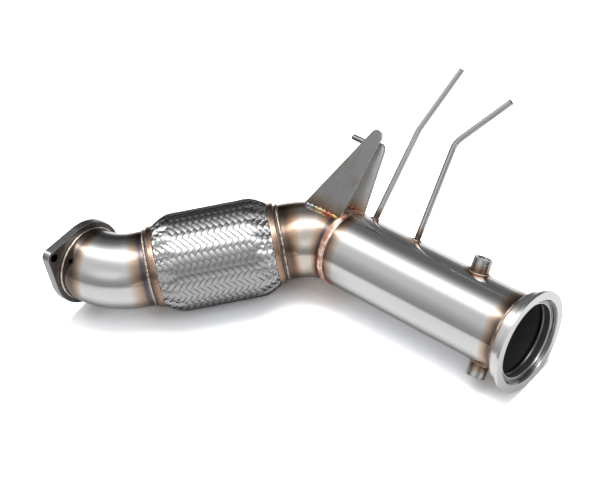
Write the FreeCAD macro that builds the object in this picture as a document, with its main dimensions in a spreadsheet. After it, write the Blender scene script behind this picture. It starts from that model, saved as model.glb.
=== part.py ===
import FreeCAD, Part
import math
import os
import Sketcher

# Turbo downpipe: a flat Z of 3 inch stainless pipe, in millimetres and degrees.
# It lies as it comes to rest, with +Z up: the plane of the bends is level and the
# V-band's rim and the braid are on the floor. The origin is the centre of the
# V-band's face, and the main tube runs from it along -X. Seen along the gas, the
# pieces are the V-band flange, the main tube, the joining elbow, the braided
# flex, the outlet elbow and the two-bolt outlet flange.

doc = FreeCAD.newDocument("turbo_downpipe")
sheet = doc.addObject("Spreadsheet::Sheet", "Sizes")
SIZES = {
    # Pipe and route
    "pipe_diameter": 76.1,  # outside of the pipe
    "pipe_wall": 1.5,  # wall of the pipe
    "main_length": 222,  # V-band face to the weld at the joining elbow
    "joining_radius": 65,  # centreline radius of the joining elbow
    "joining_turn": 49.7,  # angle of the joining elbow
    "joining_reach": 8.4,  # straight end of the joining elbow up to the flex
    "outlet_lead": 9,  # straight start of the outlet elbow
    "outlet_radius": 69.5,  # centreline radius of the outlet elbow
    "outlet_turn": 46,  # angle of the outlet elbow
    "elbow_stub": 2.5,  # straight start of the joining elbow
    "outlet_reach": 6,  # straight end of the outlet elbow up to its flange
    # V-band flange
    "vband_diameter": 101,  # outside of the V-band rim
    "vband_rim": 3.2,  # thickness of the rim at its edge
    "vband_slope": 20,  # slope of the rim's back
    "vband_recess": 83,  # diameter of the gasket recess
    "vband_recess_depth": 4.5,  # depth of the gasket recess, where the pipe ends
    "vband_neck": 90,  # outside of the neck
    "vband_length": 14,  # whole length of the V-band flange
    "vband_bevel": 1.5,  # bevel at the end of the neck
    # Outlet flange
    "plate_thickness": 9,  # thickness of the two-bolt flange
    "plate_round": 44,  # radius of the flange round the pipe
    "ear_spacing": 102,  # distance between the two bolt holes
    "ear_radius": 8,  # radius of each ear
    "bolt_hole": 7,  # diameter of each bolt hole
    "ear_lift": 45,  # slope of the line of bolts above the floor
    "plate_bevel": 0.8,  # bevel round the flange
    "pipe_setback": 2,  # pipe end to the outer face of the flange
    # Flexible section
    "flex_length": 134.5,  # flexible section, pipe end to pipe end
    "collar_start": 3,  # pipe end to the near side of the collar
    "collar_length": 6.5,  # length of each collar
    "collar_diameter": 82.5,  # outside of each collar
    "bellows_wall": 0.8,  # wall of the bellows
    "bellows_cuff": 24,  # plain cuff at each end of the bellows
    "bellows_folds": 9,  # number of folds
    "liner_wall": 0.8,  # wall of the inner liner
    "liner_cuff": 10,  # flared end of the liner
    "liner_setback": 2,  # liner ends to the pipe ends
    "braid_diameter": 100.5,  # outside of the braid at its middle
    "braid_ridge": 1.2,  # height of the strands over their crossings
    "braid_ridge_share": 0.45,  # length of a ridge as a share of its diamond
    "braid_wall": 1.6,  # thickness of the braid under the strands
    "braid_clearance": 0.95,  # gap between the braid and the folds
    "braid_taper": 25,  # length over which the braid widens from a collar
    "braid_strands": 24,  # strands round the braid, each way
    "braid_rows": 12,  # diamonds along the braid
    # Sensor bungs
    "bung_diameter": 18,  # outside of a bung
    "bung_bore": 12.4,  # bore of a bung, before its thread
    "bung_height": 13.5,  # bung above the pipe
    "bung_inside": 2,  # bung inside the pipe
    "bung_bevel": 0.8,  # bevel at the mouth of a bung
    "upper_bung_place": 73,  # V-band face to the upper bung
    "upper_bung_angle": 52,  # upper bung, from the floor's direction
    "lower_bung_place": 38,  # V-band face to the lower bung
    "lower_bung_angle": 227,  # lower bung, from the floor's direction
    # Pressure tubes
    "tube_diameter": 6,  # outside of a pressure tube
    "tube_wall": 1,  # wall of a pressure tube
    "tube_inside": 1,  # pressure tube inside the pipe
    "tube_bend": 22,  # centreline radius of a pressure tube's bend
    "rear_tube_place": 17.5,  # weld at the joining elbow to the rear tube
    "rear_tube_angle": 38.5,  # rear tube, from the floor's direction
    "rear_tube_rise": 97,  # pipe to the corner of the rear tube
    "rear_tube_turn": 11.5,  # bend of the rear tube
    "rear_tube_end": 72,  # corner to the tip of the rear tube
    "front_tube_place": 73.5,  # weld at the joining elbow to the front tube
    "front_tube_angle": 47.5,  # front tube, from the floor's direction
    "front_tube_rise": 100,  # pipe to the corner of the front tube
    "front_tube_turn": 36,  # bend of the front tube
    "front_tube_end": 67,  # corner to the tip of the front tube
    # Hanger bracket
    "hanger_sheet": 3,  # thickness of the bracket plates
    "front_lean": 36,  # lean of the front plate from the floor
    "front_foot": 45.5,  # length of the front plate's foot
    "front_height": 87.5,  # foot to the centre of the front plate's tip
    "front_tip": 6.8,  # radius of the front plate's tip
    "rear_lean": 52.8,  # lean of the rear plate from the floor
    "rear_foot": 34,  # length of the rear plate's foot
    "rear_height": 65,  # foot to the centre of the rear plate's tip
    "rear_tip": 6.5,  # radius of the rear plate's tip
    "rear_foot_angle": 40,  # rear plate's foot, round the pipe from the floor
    "hanger_place": 3,  # weld at the joining elbow to the near edge of the rear plate
    "front_step": 4,  # near edge of the rear plate to that of the front plate
    "peg_diameter": 6,  # diameter of the hanger peg
    "peg_length": 34,  # length of the hanger peg
    "foot_depth": 8,  # how far a plate's blank reaches into the pipe
    # Weld beads
    "bead_width": 4.8,  # width of a weld bead round the pipe
    "bead_height": 1.3,  # height of a weld bead round the pipe
    "fillet_size": 2.2,  # radius of the fillet welds
}
for row, (alias, number) in enumerate(SIZES.items(), start=1):
    sheet.set(f"A{row}", alias.replace("_", " "))
    sheet.set(f"B{row}", str(number))
    sheet.setAlias(f"B{row}", alias)
doc.recompute()


class Size:
    """A number with the expression that ties it to the sheet."""

    def __init__(self, text, number):
        self.text = text
        self.number = number

    def __add__(self, other):
        return Size(f"({self.text} + {text_of(other)})", self.number + number_of(other))

    def __sub__(self, other):
        return Size(f"({self.text} - {text_of(other)})", self.number - number_of(other))

    def __mul__(self, other):
        return Size(f"({self.text} * {text_of(other)})", self.number * number_of(other))

    def __truediv__(self, other):
        return Size(f"({self.text} / {text_of(other)})", self.number / number_of(other))

    def __neg__(self):
        return Size(f"(-1 * {self.text})", -self.number)


def text_of(value):
    return value.text if isinstance(value, Size) else repr(value)


def number_of(value):
    return value.number if isinstance(value, Size) else value


def tangent(angle):
    return Size(f"tan({angle.text} * 1 deg)", math.tan(math.radians(angle.number)))


class SheetReader:
    """Gives each size on the sheet by its alias."""

    def __getattr__(self, alias):
        return Size(f"Sizes.{alias}", float(sheet.get(alias)))


sizes = SheetReader()
ZERO = Size("0", 0.0)
pipe_radius = sizes.pipe_diameter / 2
bore_radius = pipe_radius - sizes.pipe_wall


# Frames along the route. In each, x runs along the pipe away from the V-band
# face, z is up from the plane of the bends, and the joining elbow turns to +y.

def moved(x=0.0, y=0.0, z=0.0):
    return FreeCAD.Placement(FreeCAD.Vector(x, y, z), FreeCAD.Rotation())


def turned_about(axis, angle):
    return FreeCAD.Placement(FreeCAD.Vector(0, 0, 0), FreeCAD.Rotation(axis, angle))


X_AXIS = FreeCAD.Vector(1, 0, 0)
Y_AXIS = FreeCAD.Vector(0, 1, 0)
Z_AXIS = FreeCAD.Vector(0, 0, 1)


def past_elbow(start, stub, radius, turn, end):
    """The frame at the far end of an elbow that turns to +y."""
    bend = moved(stub.number) * moved(0, radius.number) * turned_about(Z_AXIS, turn.number)
    return start * bend * moved(0, -radius.number) * moved(end.number)


vband_frame = turned_about(Z_AXIS, 180)
joint_frame = vband_frame * moved(sizes.main_length.number)
flex_frame = past_elbow(joint_frame, sizes.elbow_stub, sizes.joining_radius,
                        sizes.joining_turn, sizes.joining_reach)
flip = turned_about(X_AXIS, 180)
outlet_frame = flex_frame * moved(sizes.flex_length.number) * flip
plate_frame = past_elbow(outlet_frame, sizes.outlet_lead, sizes.outlet_radius,
                         sizes.outlet_turn, sizes.outlet_reach) * flip


def on_pipe(place, angle):
    """A frame on the main tube's axis with x out through the wall and y to the V-band."""
    slope = math.radians(angle.number)
    outward = FreeCAD.Vector(0, math.cos(slope), math.sin(slope))
    rotation = FreeCAD.Rotation(outward, X_AXIS, outward.cross(X_AXIS), "XYZ")
    return FreeCAD.Placement(FreeCAD.Vector(-place.number, 0, 0), rotation)


# Sketches and bodies

def new_sketch(body, name, plane):
    sketch = body.newObject("Sketcher::SketchObject", name)
    support = [item for item in body.Origin.OriginFeatures if item.Role == plane][0]
    sketch.AttachmentSupport = [(support, "")]
    sketch.MapMode = "FlatFace"
    return sketch


def tie(sketch, kind, places, value):
    """Adds one dimension to a sketch and ties it to the sheet."""
    unit = " * 1 deg" if kind == "Angle" else ""
    number = math.radians(value.number) if kind == "Angle" else value.number
    index = sketch.addConstraint(Sketcher.Constraint(kind, *places, number))
    name = f"size_{index}"
    sketch.renameConstraint(index, name)
    sketch.setExpression(f"Constraints.{name}", value.text + unit)


def tie_point(sketch, geometry, end, x, y):
    tie(sketch, "DistanceX", (-1, 1, geometry, end), x)
    tie(sketch, "DistanceY", (-1, 1, geometry, end), y)


def add_outline(sketch, corners):
    """Draws a closed outline of straight lines through corners tied to the sheet."""
    places = [FreeCAD.Vector(x.number, y.number, 0) for x, y in corners]
    first = sketch.GeometryCount
    count = len(corners)
    for index, place in enumerate(places):
        sketch.addGeometry(Part.LineSegment(place, places[(index + 1) % count]), False)
    for index in range(count):
        after = first + (index + 1) % count
        sketch.addConstraint(Sketcher.Constraint("Coincident", first + index, 2, after, 1))
    for index, (x, y) in enumerate(corners):
        tie_point(sketch, first + index, 1, x, y)


def add_circle(sketch, x, y, radius):
    place = FreeCAD.Vector(x.number, y.number, 0)
    circle = sketch.addGeometry(Part.Circle(place, Z_AXIS, radius.number), False)
    tie_point(sketch, circle, 3, x, y)
    tie(sketch, "Radius", (circle,), radius)


def revolve(body, sketch, name):
    turn = body.newObject("PartDesign::Revolution", name)
    turn.Profile = sketch
    turn.ReferenceAxis = (sketch, ["H_Axis"])
    turn.Angle = 360
    return turn


def turned_piece(name, corners, frame):
    """A piece turned about the pipe's axis from an outline of (along, radius) corners."""
    body = doc.addObject("PartDesign::Body", name)
    sketch = new_sketch(body, name + "_outline", "XY_Plane")
    add_outline(sketch, corners)
    revolve(body, sketch, name + "_turned")
    body.Placement = frame
    return body


def weld_ring(name, radius, start, frame):
    """A rounded weld bead that lies on the pipe all the way round."""
    width = sizes.bead_width
    height = sizes.bead_height
    crown = height / 2 + width * width / (height * 8)
    body = doc.addObject("PartDesign::Body", name)
    sketch = new_sketch(body, name + "_outline", "XY_Plane")
    left = FreeCAD.Vector(start.number, radius.number, 0)
    right = FreeCAD.Vector(start.number + width.number, radius.number, 0)
    top = FreeCAD.Vector(start.number + width.number / 2, radius.number + height.number, 0)
    sketch.addGeometry(Part.LineSegment(left, right), False)
    sketch.addGeometry(Part.Arc(right, top, left), False)
    sketch.addConstraint(Sketcher.Constraint("Coincident", 0, 2, 1, 1))
    sketch.addConstraint(Sketcher.Constraint("Coincident", 0, 1, 1, 2))
    tie_point(sketch, 0, 1, start, radius)
    tie_point(sketch, 0, 2, start + width, radius)
    tie(sketch, "Radius", (1,), crown)
    revolve(body, sketch, name + "_turned")
    body.Placement = frame
    return body


def bent_tube(name, diameter, wall, first_run, radius, turn, last_run, frame):
    """A tube that runs along x, turns to +y and runs on, as one hollow sweep."""
    body = doc.addObject("PartDesign::Body", name)
    path = new_sketch(body, name + "_path", "XY_Plane")
    bend_start = FreeCAD.Vector(first_run.number, 0, 0)
    centre = FreeCAD.Vector(first_run.number, radius.number, 0)
    low = math.radians(-90)
    high = math.radians(turn.number - 90)
    outward = FreeCAD.Vector(math.cos(high), math.sin(high), 0)
    bend_end = centre + outward * radius.number
    onward = FreeCAD.Vector(-outward.y, outward.x, 0)
    path.addGeometry(Part.LineSegment(FreeCAD.Vector(0, 0, 0), bend_start), False)
    path.addGeometry(Part.ArcOfCircle(Part.Circle(centre, Z_AXIS, radius.number), low, high), False)
    path.addGeometry(Part.LineSegment(bend_end, bend_end + onward * last_run.number), False)
    path.addConstraint(Sketcher.Constraint("Coincident", 0, 1, -1, 1))
    path.addConstraint(Sketcher.Constraint("Horizontal", 0))
    path.addConstraint(Sketcher.Constraint("Tangent", 0, 2, 1, 1))
    path.addConstraint(Sketcher.Constraint("Tangent", 1, 2, 2, 1))
    tie(path, "Distance", (0,), first_run)
    tie(path, "Radius", (1,), radius)
    tie(path, "Angle", (1,), turn)
    tie(path, "Distance", (2,), last_run)
    section = new_sketch(body, name + "_section", "YZ_Plane")
    add_circle(section, ZERO, ZERO, diameter / 2)
    add_circle(section, ZERO, ZERO, diameter / 2 - wall)
    sweep = body.newObject("PartDesign::AdditivePipe", name + "_sweep")
    sweep.Profile = section
    sweep.Spine = (path, ["Edge1", "Edge2", "Edge3"])
    body.Placement = frame
    return body


def cylinder(name, radius, length, frame):
    """A plain round bar along the frame's x, used as a blank or a cutter."""
    bar = doc.addObject("Part::Cylinder", name)
    bar.setExpression("Radius", radius.text)
    bar.setExpression("Height", length.text)
    bar.Placement = frame * turned_about(Y_AXIS, 90)
    return bar


def fused(name, items):
    joined = doc.addObject("Part::MultiFuse", name)
    joined.Shapes = items
    return joined


def cut_piece(name, blank, cutters):
    """A blank less its cutters."""
    piece = doc.addObject("Part::Cut", name)
    piece.Base = blank
    piece.Tool = cutters[0] if len(cutters) == 1 else fused(name + "_cutters", cutters)
    return piece


nodes = []


def keep(piece, label):
    piece.Label = label
    nodes.append(piece)


# V-band flange: a turned ring with a wedge-backed rim, a gasket recess and a
# neck that the pipe is pushed into up to the recess.
rim_radius = sizes.vband_diameter / 2
neck_radius = sizes.vband_neck / 2
recess_radius = sizes.vband_recess / 2
slope_end = sizes.vband_rim + (rim_radius - neck_radius) * tangent(sizes.vband_slope)
vband_corners = [
    (ZERO, recess_radius),
    (ZERO, rim_radius),
    (sizes.vband_rim, rim_radius),
    (slope_end, neck_radius),
    (sizes.vband_length - sizes.vband_bevel, neck_radius),
    (sizes.vband_length, neck_radius - sizes.vband_bevel),
    (sizes.vband_length, pipe_radius),
    (sizes.vband_recess_depth, pipe_radius),
    (sizes.vband_recess_depth, recess_radius),
]
keep(turned_piece("VBand", vband_corners, vband_frame), "vband_flange")
keep(weld_ring("VBandWeld", pipe_radius, sizes.vband_length, vband_frame), "weld_vband")


# Sensor bungs and pressure tubes stand in round holes in the main tube.
BUNGS = (
    ("upper_sensor_bung", "UpperBung", sizes.upper_bung_place, sizes.upper_bung_angle),
    ("lower_sensor_bung", "LowerBung", sizes.lower_bung_place, sizes.lower_bung_angle),
)
TUBES = (
    ("rear_pressure_tube", "RearTube", sizes.main_length - sizes.rear_tube_place, sizes.rear_tube_angle,
     sizes.rear_tube_rise, sizes.rear_tube_turn, sizes.rear_tube_end),
    ("front_pressure_tube", "FrontTube", sizes.main_length - sizes.front_tube_place, sizes.front_tube_angle,
     sizes.front_tube_rise, sizes.front_tube_turn, sizes.front_tube_end),
)

main_start = sizes.vband_recess_depth
main_frame = vband_frame * moved(main_start.number)
main_run = sizes.main_length - main_start
main_blank = cylinder("MainBlank", pipe_radius, main_run, main_frame)
main_cutters = [cylinder("MainBore", bore_radius, main_run, main_frame)]
bung_radius = sizes.bung_diameter / 2
tube_radius = sizes.tube_diameter / 2
for label, name, place, angle in BUNGS:
    main_cutters.append(cylinder(name + "Hole", bung_radius, sizes.pipe_diameter, on_pipe(place, angle)))
for label, name, place, angle, rise, turn, end in TUBES:
    main_cutters.append(cylinder(name + "Hole", tube_radius, sizes.pipe_diameter, on_pipe(place, angle)))
keep(cut_piece("MainTube", main_blank, main_cutters), "main_tube")


def turned_bung(name, place, angle):
    """A bung with its axis through the wall, and a bevel at its mouth."""
    low = bore_radius - sizes.bung_inside
    high = pipe_radius + sizes.bung_height
    hole = sizes.bung_bore / 2
    bevel = sizes.bung_bevel
    corners = [
        (low, hole),
        (low, bung_radius),
        (high - bevel, bung_radius),
        (high, bung_radius - bevel),
        (high, hole + bevel),
        (high - bevel, hole),
    ]
    return turned_piece(name, corners, on_pipe(place, angle))


def fillet_weld(name, radius, place, angle):
    """A rounded bead round a bung or a tube, where it leaves the pipe."""
    frame = on_pipe(place, angle)
    ring = doc.addObject("Part::Torus", name + "Ring")
    ring.setExpression("Radius1", radius.text)
    ring.setExpression("Radius2", sizes.fillet_size.text)
    ring.Placement = frame * moved(pipe_radius.number) * turned_about(Y_AXIS, 90)
    stem = cylinder(name + "Stem", radius, sizes.pipe_diameter, frame)
    wall = cylinder(name + "Wall", pipe_radius, main_run, main_frame)
    return cut_piece(name, ring, [stem, wall])


for label, name, place, angle in BUNGS:
    keep(turned_bung(name, place, angle), label)
    keep(fillet_weld(name + "Weld", bung_radius, place, angle), "weld_" + label)

tube_start = bore_radius - sizes.tube_inside
for label, name, place, angle, rise, turn, end in TUBES:
    inset = sizes.tube_bend * tangent(turn / 2)
    first_run = pipe_radius + rise - inset - tube_start
    frame = on_pipe(place, angle) * moved(tube_start.number)
    tube = bent_tube(name, sizes.tube_diameter, sizes.tube_wall, first_run, sizes.tube_bend,
                     turn, end - inset, frame)
    keep(tube, label)
    keep(fillet_weld(name + "Weld", tube_radius, place, angle), "weld_" + label)


# Elbows: swept pipe with a short straight end for each weld.
keep(bent_tube("JoiningElbow", sizes.pipe_diameter, sizes.pipe_wall, sizes.elbow_stub, sizes.joining_radius,
               sizes.joining_turn, sizes.joining_reach, joint_frame), "joining_elbow")
outlet_inside = sizes.plate_thickness - sizes.pipe_setback
keep(bent_tube("OutletElbow", sizes.pipe_diameter, sizes.pipe_wall, sizes.outlet_lead, sizes.outlet_radius,
               sizes.outlet_turn, sizes.outlet_reach + outlet_inside, outlet_frame), "outlet_elbow")
half_bead = sizes.bead_width / 2
keep(weld_ring("MainWeld", pipe_radius, -half_bead, joint_frame), "weld_main_tube")


# Flexible section, from the joining elbow to the outlet elbow.
flex_end_frame = flex_frame * moved(sizes.flex_length.number) * turned_about(Z_AXIS, 180)
collar_radius = sizes.collar_diameter / 2
collar_end = sizes.collar_start + sizes.collar_length
collar_bevel = sizes.bellows_wall
collar_corners = [
    (sizes.collar_start, pipe_radius),
    (sizes.collar_start, collar_radius - collar_bevel),
    (sizes.collar_start + collar_bevel, collar_radius),
    (collar_end, collar_radius),
    (collar_end, pipe_radius),
]
keep(turned_piece("InletCollar", collar_corners, flex_frame), "flex_collar_inlet")
keep(turned_piece("OutletCollar", collar_corners, flex_end_frame), "flex_collar_outlet")
keep(weld_ring("InletWeld", pipe_radius, -half_bead, flex_frame), "weld_flex_inlet")
keep(weld_ring("OutletWeld", pipe_radius, -half_bead, flex_end_frame), "weld_flex_outlet")

# The bellows is a thin tube with plain cuffs and one turned fold, repeated.
cuff_inside = pipe_radius - sizes.bellows_wall
fold_pitch = (sizes.flex_length - sizes.bellows_cuff * 2) / sizes.bellows_folds
fold_crest = sizes.braid_diameter / 2 - sizes.braid_ridge - sizes.braid_wall - sizes.braid_clearance
fold_start = sizes.bellows_cuff
fold_middle = fold_start + fold_pitch / 2
bellows = doc.addObject("PartDesign::Body", "Bellows")
cuffs = new_sketch(bellows, "Bellows_cuffs", "XY_Plane")
near_cuff = [
    (ZERO, cuff_inside),
    (ZERO, pipe_radius),
    (sizes.bellows_cuff, pipe_radius),
    (sizes.bellows_cuff, cuff_inside),
]
far_start = sizes.flex_length - sizes.bellows_cuff
far_cuff = [
    (far_start, cuff_inside),
    (far_start, pipe_radius),
    (sizes.flex_length, pipe_radius),
    (sizes.flex_length, cuff_inside),
]
fold_outline = [
    (fold_start, cuff_inside),
    (fold_start, pipe_radius),
    (fold_middle, fold_crest),
    (fold_start + fold_pitch, pipe_radius),
    (fold_start + fold_pitch, cuff_inside),
    (fold_middle, fold_crest - sizes.bellows_wall * 1.5),
]
add_outline(cuffs, near_cuff)
near_turn = revolve(bellows, cuffs, "Bellows_near_turned")
fold = new_sketch(bellows, "Bellows_fold", "XY_Plane")
add_outline(fold, fold_outline)
fold_turn = revolve(bellows, fold, "Bellows_fold_turned")
folds = bellows.newObject("PartDesign::LinearPattern", "Bellows_folds")
folds.Originals = [fold_turn]
folds.Direction = (fold, ["H_Axis"])
folds.setExpression("Length", (fold_pitch * (sizes.bellows_folds - 1)).text)
folds.setExpression("Occurrences", sizes.bellows_folds.text)
bellows.Tip = folds
far = new_sketch(bellows, "Bellows_far_cuff", "XY_Plane")
add_outline(far, far_cuff)
bellows.Tip = revolve(bellows, far, "Bellows_far_turned")
bellows.Placement = flex_frame
keep(bellows, "flex_bellows")

# The liner is flared at its upstream end, where it is fixed in the bellows.
liner_start = sizes.liner_setback
liner_flare_end = liner_start + sizes.liner_cuff
liner_outside = cuff_inside - sizes.liner_wall
liner_corners = [
    (liner_start, cuff_inside - sizes.liner_wall),
    (liner_start, cuff_inside),
    (liner_flare_end, cuff_inside),
    (liner_flare_end + sizes.liner_wall, liner_outside),
    (sizes.flex_length - sizes.liner_setback, liner_outside),
    (sizes.flex_length - sizes.liner_setback, liner_outside - sizes.liner_wall),
    (liner_flare_end, liner_outside - sizes.liner_wall),
]
keep(turned_piece("Liner", liner_corners, flex_frame), "flex_liner")


# The braid is a sleeve of crossing strands. Its outside is a net of diamonds,
# one for each place where a strand passes over another, and each diamond has a
# ridge along the strand on top, so the ridges run one way in one row and the
# other way in the next.
braid_start = collar_end
braid_run = sizes.flex_length - collar_end * 2
end_radius = collar_radius - sizes.braid_ridge
full_radius = sizes.braid_diameter / 2 - sizes.braid_ridge


def braid_radius(along):
    """Radius of the strands' crossings at a distance along the braid."""
    nearest = min(along, braid_run.number - along)
    share = min(nearest / sizes.braid_taper.number, 1.0)
    swell = 0.5 - 0.5 * math.cos(math.pi * share)
    return end_radius.number + (full_radius.number - end_radius.number) * swell


def braid_point(turns, along, lift=0.0):
    angle = 2 * math.pi * turns
    radius = braid_radius(along) + lift
    return FreeCAD.Vector(along, radius * math.cos(angle), radius * math.sin(angle))


def triangle(first, second, third):
    return Part.Face(Part.makePolygon([first, second, third, first]))


def diamond_faces(turns, along, half_turn, half_row, ridge_sign):
    """The six facets of one diamond, with its ridge along the strand on top."""
    ridge = sizes.braid_ridge_share.number
    lift = sizes.braid_ridge.number
    left = braid_point(turns - half_turn, along)
    right = braid_point(turns + half_turn, along)
    near = braid_point(turns, along - half_row)
    far = braid_point(turns, along + half_row)
    ridge_turn = half_turn * ridge * ridge_sign
    start = braid_point(turns - ridge_turn / 2, along - half_row * ridge / 2, lift)
    end = braid_point(turns + ridge_turn / 2, along + half_row * ridge / 2, lift)
    loop = [near, right, far, left]
    ridge_ends = [start, end, end, start] if ridge_sign > 0 else [start, start, end, end]
    faces = []
    for index in range(4):
        after = (index + 1) % 4
        faces.append(triangle(loop[index], loop[after], ridge_ends[index]))
        if ridge_ends[index] != ridge_ends[after]:
            faces.append(triangle(ridge_ends[index], loop[after], ridge_ends[after]))
    return faces


def braid_skin():
    """The braid's outside as one closed solid of flat facets."""
    strands = int(sizes.braid_strands.number)
    half_rows = 2 * int(sizes.braid_rows.number)
    half_turn = 0.5 / strands
    half_row = braid_run.number / half_rows
    faces = []
    for row in range(1, half_rows):
        along = row * half_row
        offset = half_turn if row % 2 == 0 else 0.0
        ridge_sign = 1 if row % 2 == 0 else -1
        for strand in range(strands):
            turns = strand / strands + offset
            faces.extend(diamond_faces(turns, along, half_turn, half_row, ridge_sign))
    for along, inner in ((0.0, half_row), (braid_run.number, braid_run.number - half_row)):
        inner_row = round(inner / half_row)
        offset = 0.0 if inner_row % 2 == 0 else half_turn
        rim = []
        for strand in range(strands):
            turns = strand / strands + offset - half_turn
            left = braid_point(turns, along)
            right = braid_point(turns + 2 * half_turn, along)
            faces.append(triangle(left, right, braid_point(turns + half_turn, inner)))
            rim.append(left)
        faces.append(Part.Face(Part.makePolygon(rim + [rim[0]])))
    shell = Part.Shell(faces)
    shell.sewShape()
    return Part.Solid(shell)


def braid_inside():
    """The space inside the braid, turned from its tapered profile."""
    steps = (0.0, 0.3, 0.5, 0.7, 1.0)
    taper = sizes.braid_taper.number
    wall = sizes.braid_wall.number
    near = [(step * taper, braid_radius(step * taper) - wall) for step in steps]
    far = [(braid_run.number - along, radius) for along, radius in reversed(near)]
    profile = [(0.0, 0.0)] + near + far + [(braid_run.number, 0.0)]
    places = [FreeCAD.Vector(along, radius, 0) for along, radius in profile]
    face = Part.Face(Part.makePolygon(places + [places[0]]))
    return face.revolve(FreeCAD.Vector(0, 0, 0), X_AXIS, 360)


braid_frame = flex_frame * moved(braid_start.number)
braid_outer = doc.addObject("Part::Feature", "BraidSkin")
braid_outer.Shape = braid_skin()
braid_outer.Placement = braid_frame
braid_space = doc.addObject("Part::Feature", "BraidInside")
braid_space.Shape = braid_inside()
braid_space.Placement = braid_frame
keep(cut_piece("Braid", braid_outer, [braid_space]), "flex_braid")


# Outlet flange: a two-bolt plate, its ears drawn with arcs joined by tangents.
def plate_sketch(body):
    sketch = new_sketch(body, "Plate_outline", "YZ_Plane")
    half = sizes.ear_spacing.number / 2
    middle = sizes.plate_round.number
    ear = sizes.ear_radius.number
    tilt = math.acos((middle - ear) / half)
    quarter = math.pi / 2
    centres = [(half, ear, -tilt, tilt), (0.0, middle, tilt, 2 * quarter - tilt),
               (-half, ear, 2 * quarter - tilt, 2 * quarter + tilt),
               (0.0, middle, 2 * quarter + tilt, 4 * quarter - tilt)]
    arcs = []
    for across, radius, low, high in centres:
        circle = Part.Circle(FreeCAD.Vector(across, 0, 0), Z_AXIS, radius)
        arcs.append(sketch.addGeometry(Part.ArcOfCircle(circle, low, high), False))
    for index, arc in enumerate(arcs):
        after = arcs[(index + 1) % 4]
        start = sketch.getPoint(arc, 2)
        end = sketch.getPoint(after, 1)
        line = sketch.addGeometry(Part.LineSegment(start, end), False)
        sketch.addConstraint(Sketcher.Constraint("Tangent", arc, 2, line, 1))
        sketch.addConstraint(Sketcher.Constraint("Tangent", line, 2, after, 1))
    for arc, across, radius in zip(arcs, (1, 0, -1, 0), (sizes.ear_radius, sizes.plate_round) * 2):
        tie_point(sketch, arc, 3, sizes.ear_spacing / 2 * across, ZERO)
        tie(sketch, "Radius", (arc,), radius)
    add_circle(sketch, ZERO, ZERO, pipe_radius)
    for side in (-1, 1):
        add_circle(sketch, sizes.ear_spacing / 2 * side, ZERO, sizes.bolt_hole / 2)
    return sketch


plate = doc.addObject("PartDesign::Body", "OutletPlate")
plate_pad = plate.newObject("PartDesign::Pad", "OutletPlate_pad")
plate_pad.Profile = plate_sketch(plate)
plate_pad.setExpression("Length", sizes.plate_thickness.text)
doc.recompute()


def outline_edges(shape):
    """The names of the edges round the plate's outside, on both faces."""
    names = []
    for index, edge in enumerate(shape.Edges):
        flat = abs(edge.Vertexes[0].X - edge.Vertexes[-1].X) < 1e-6
        middle = edge.valueAt((edge.FirstParameter + edge.LastParameter) / 2)
        closed = len(edge.Vertexes) == 1
        if flat and not closed and abs(middle.x - edge.Vertexes[0].X) < 1e-6:
            names.append(f"Edge{index + 1}")
    return names


plate_bevel = plate.newObject("PartDesign::Chamfer", "OutletPlate_bevel")
plate_bevel.Base = (plate_pad, outline_edges(plate_pad.Shape))
plate_bevel.setExpression("Size", sizes.plate_bevel.text)
plate.Tip = plate_bevel
plate_roll = turned_about(X_AXIS, sizes.ear_lift.number)
plate.Placement = plate_frame * plate_roll
keep(plate, "outlet_flange_plate")
keep(weld_ring("PlateWeld", pipe_radius, -sizes.bead_width, plate_frame), "weld_outlet_flange")


# Hanger bracket: two tapered plates that stand on the pipe by the weld, lean
# together and hold a round peg between their tips.
def plate_blank(name, foot, height, tip, frame):
    """A tapered plate with a round tip; x runs to the V-band and y up the plate."""
    body = doc.addObject("PartDesign::Body", name)
    sketch = new_sketch(body, name + "_outline", "XY_Plane")
    depth = sizes.foot_depth
    tip_x = -tip
    foot_x = -foot
    right = FreeCAD.Vector(0, 0, 0)
    low_right = FreeCAD.Vector(0, -depth.number, 0)
    low_left = FreeCAD.Vector(foot_x.number, -depth.number, 0)
    left = FreeCAD.Vector(foot_x.number, 0, 0)
    centre = FreeCAD.Vector(tip_x.number, height.number, 0)
    reach = left - centre
    swing = math.acos(tip.number / reach.Length)
    meet = math.atan2(reach.y, reach.x) - swing
    touch = centre + FreeCAD.Vector(math.cos(meet), math.sin(meet), 0) * tip.number
    top = centre + FreeCAD.Vector(0, tip.number, 0)
    right_top = centre + FreeCAD.Vector(tip.number, 0, 0)
    arc = sketch.addGeometry(Part.Arc(right_top, top, touch), False)
    places = [touch, left, low_left, low_right, right_top]
    lines = []
    for start, end in zip(places, places[1:]):
        lines.append(sketch.addGeometry(Part.LineSegment(start, end), False))
    sketch.addConstraint(Sketcher.Constraint("Tangent", arc, 2, lines[0], 1))
    for line, after in zip(lines, lines[1:]):
        sketch.addConstraint(Sketcher.Constraint("Coincident", line, 2, after, 1))
    sketch.addConstraint(Sketcher.Constraint("Tangent", lines[3], 2, arc, 1))
    tie_point(sketch, arc, 3, tip_x, height)
    tie(sketch, "Radius", (arc,), tip)
    tie_point(sketch, lines[1], 1, foot_x, ZERO)
    tie_point(sketch, lines[2], 1, foot_x, -depth)
    tie(sketch, "DistanceY", (-1, 1, lines[3], 1), -depth)
    pad = body.newObject("PartDesign::Pad", name + "_pad")
    pad.Profile = sketch
    pad.Reversed = True
    pad.setExpression("Length", sizes.hanger_sheet.text)
    body.Placement = frame
    return body


def leaning(start, foot_y, foot_z, lean):
    """A frame on the pipe with y up a plate that leans away from the front."""
    return moved(-start.number, foot_y, foot_z) * turned_about(X_AXIS, lean.number)


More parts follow.
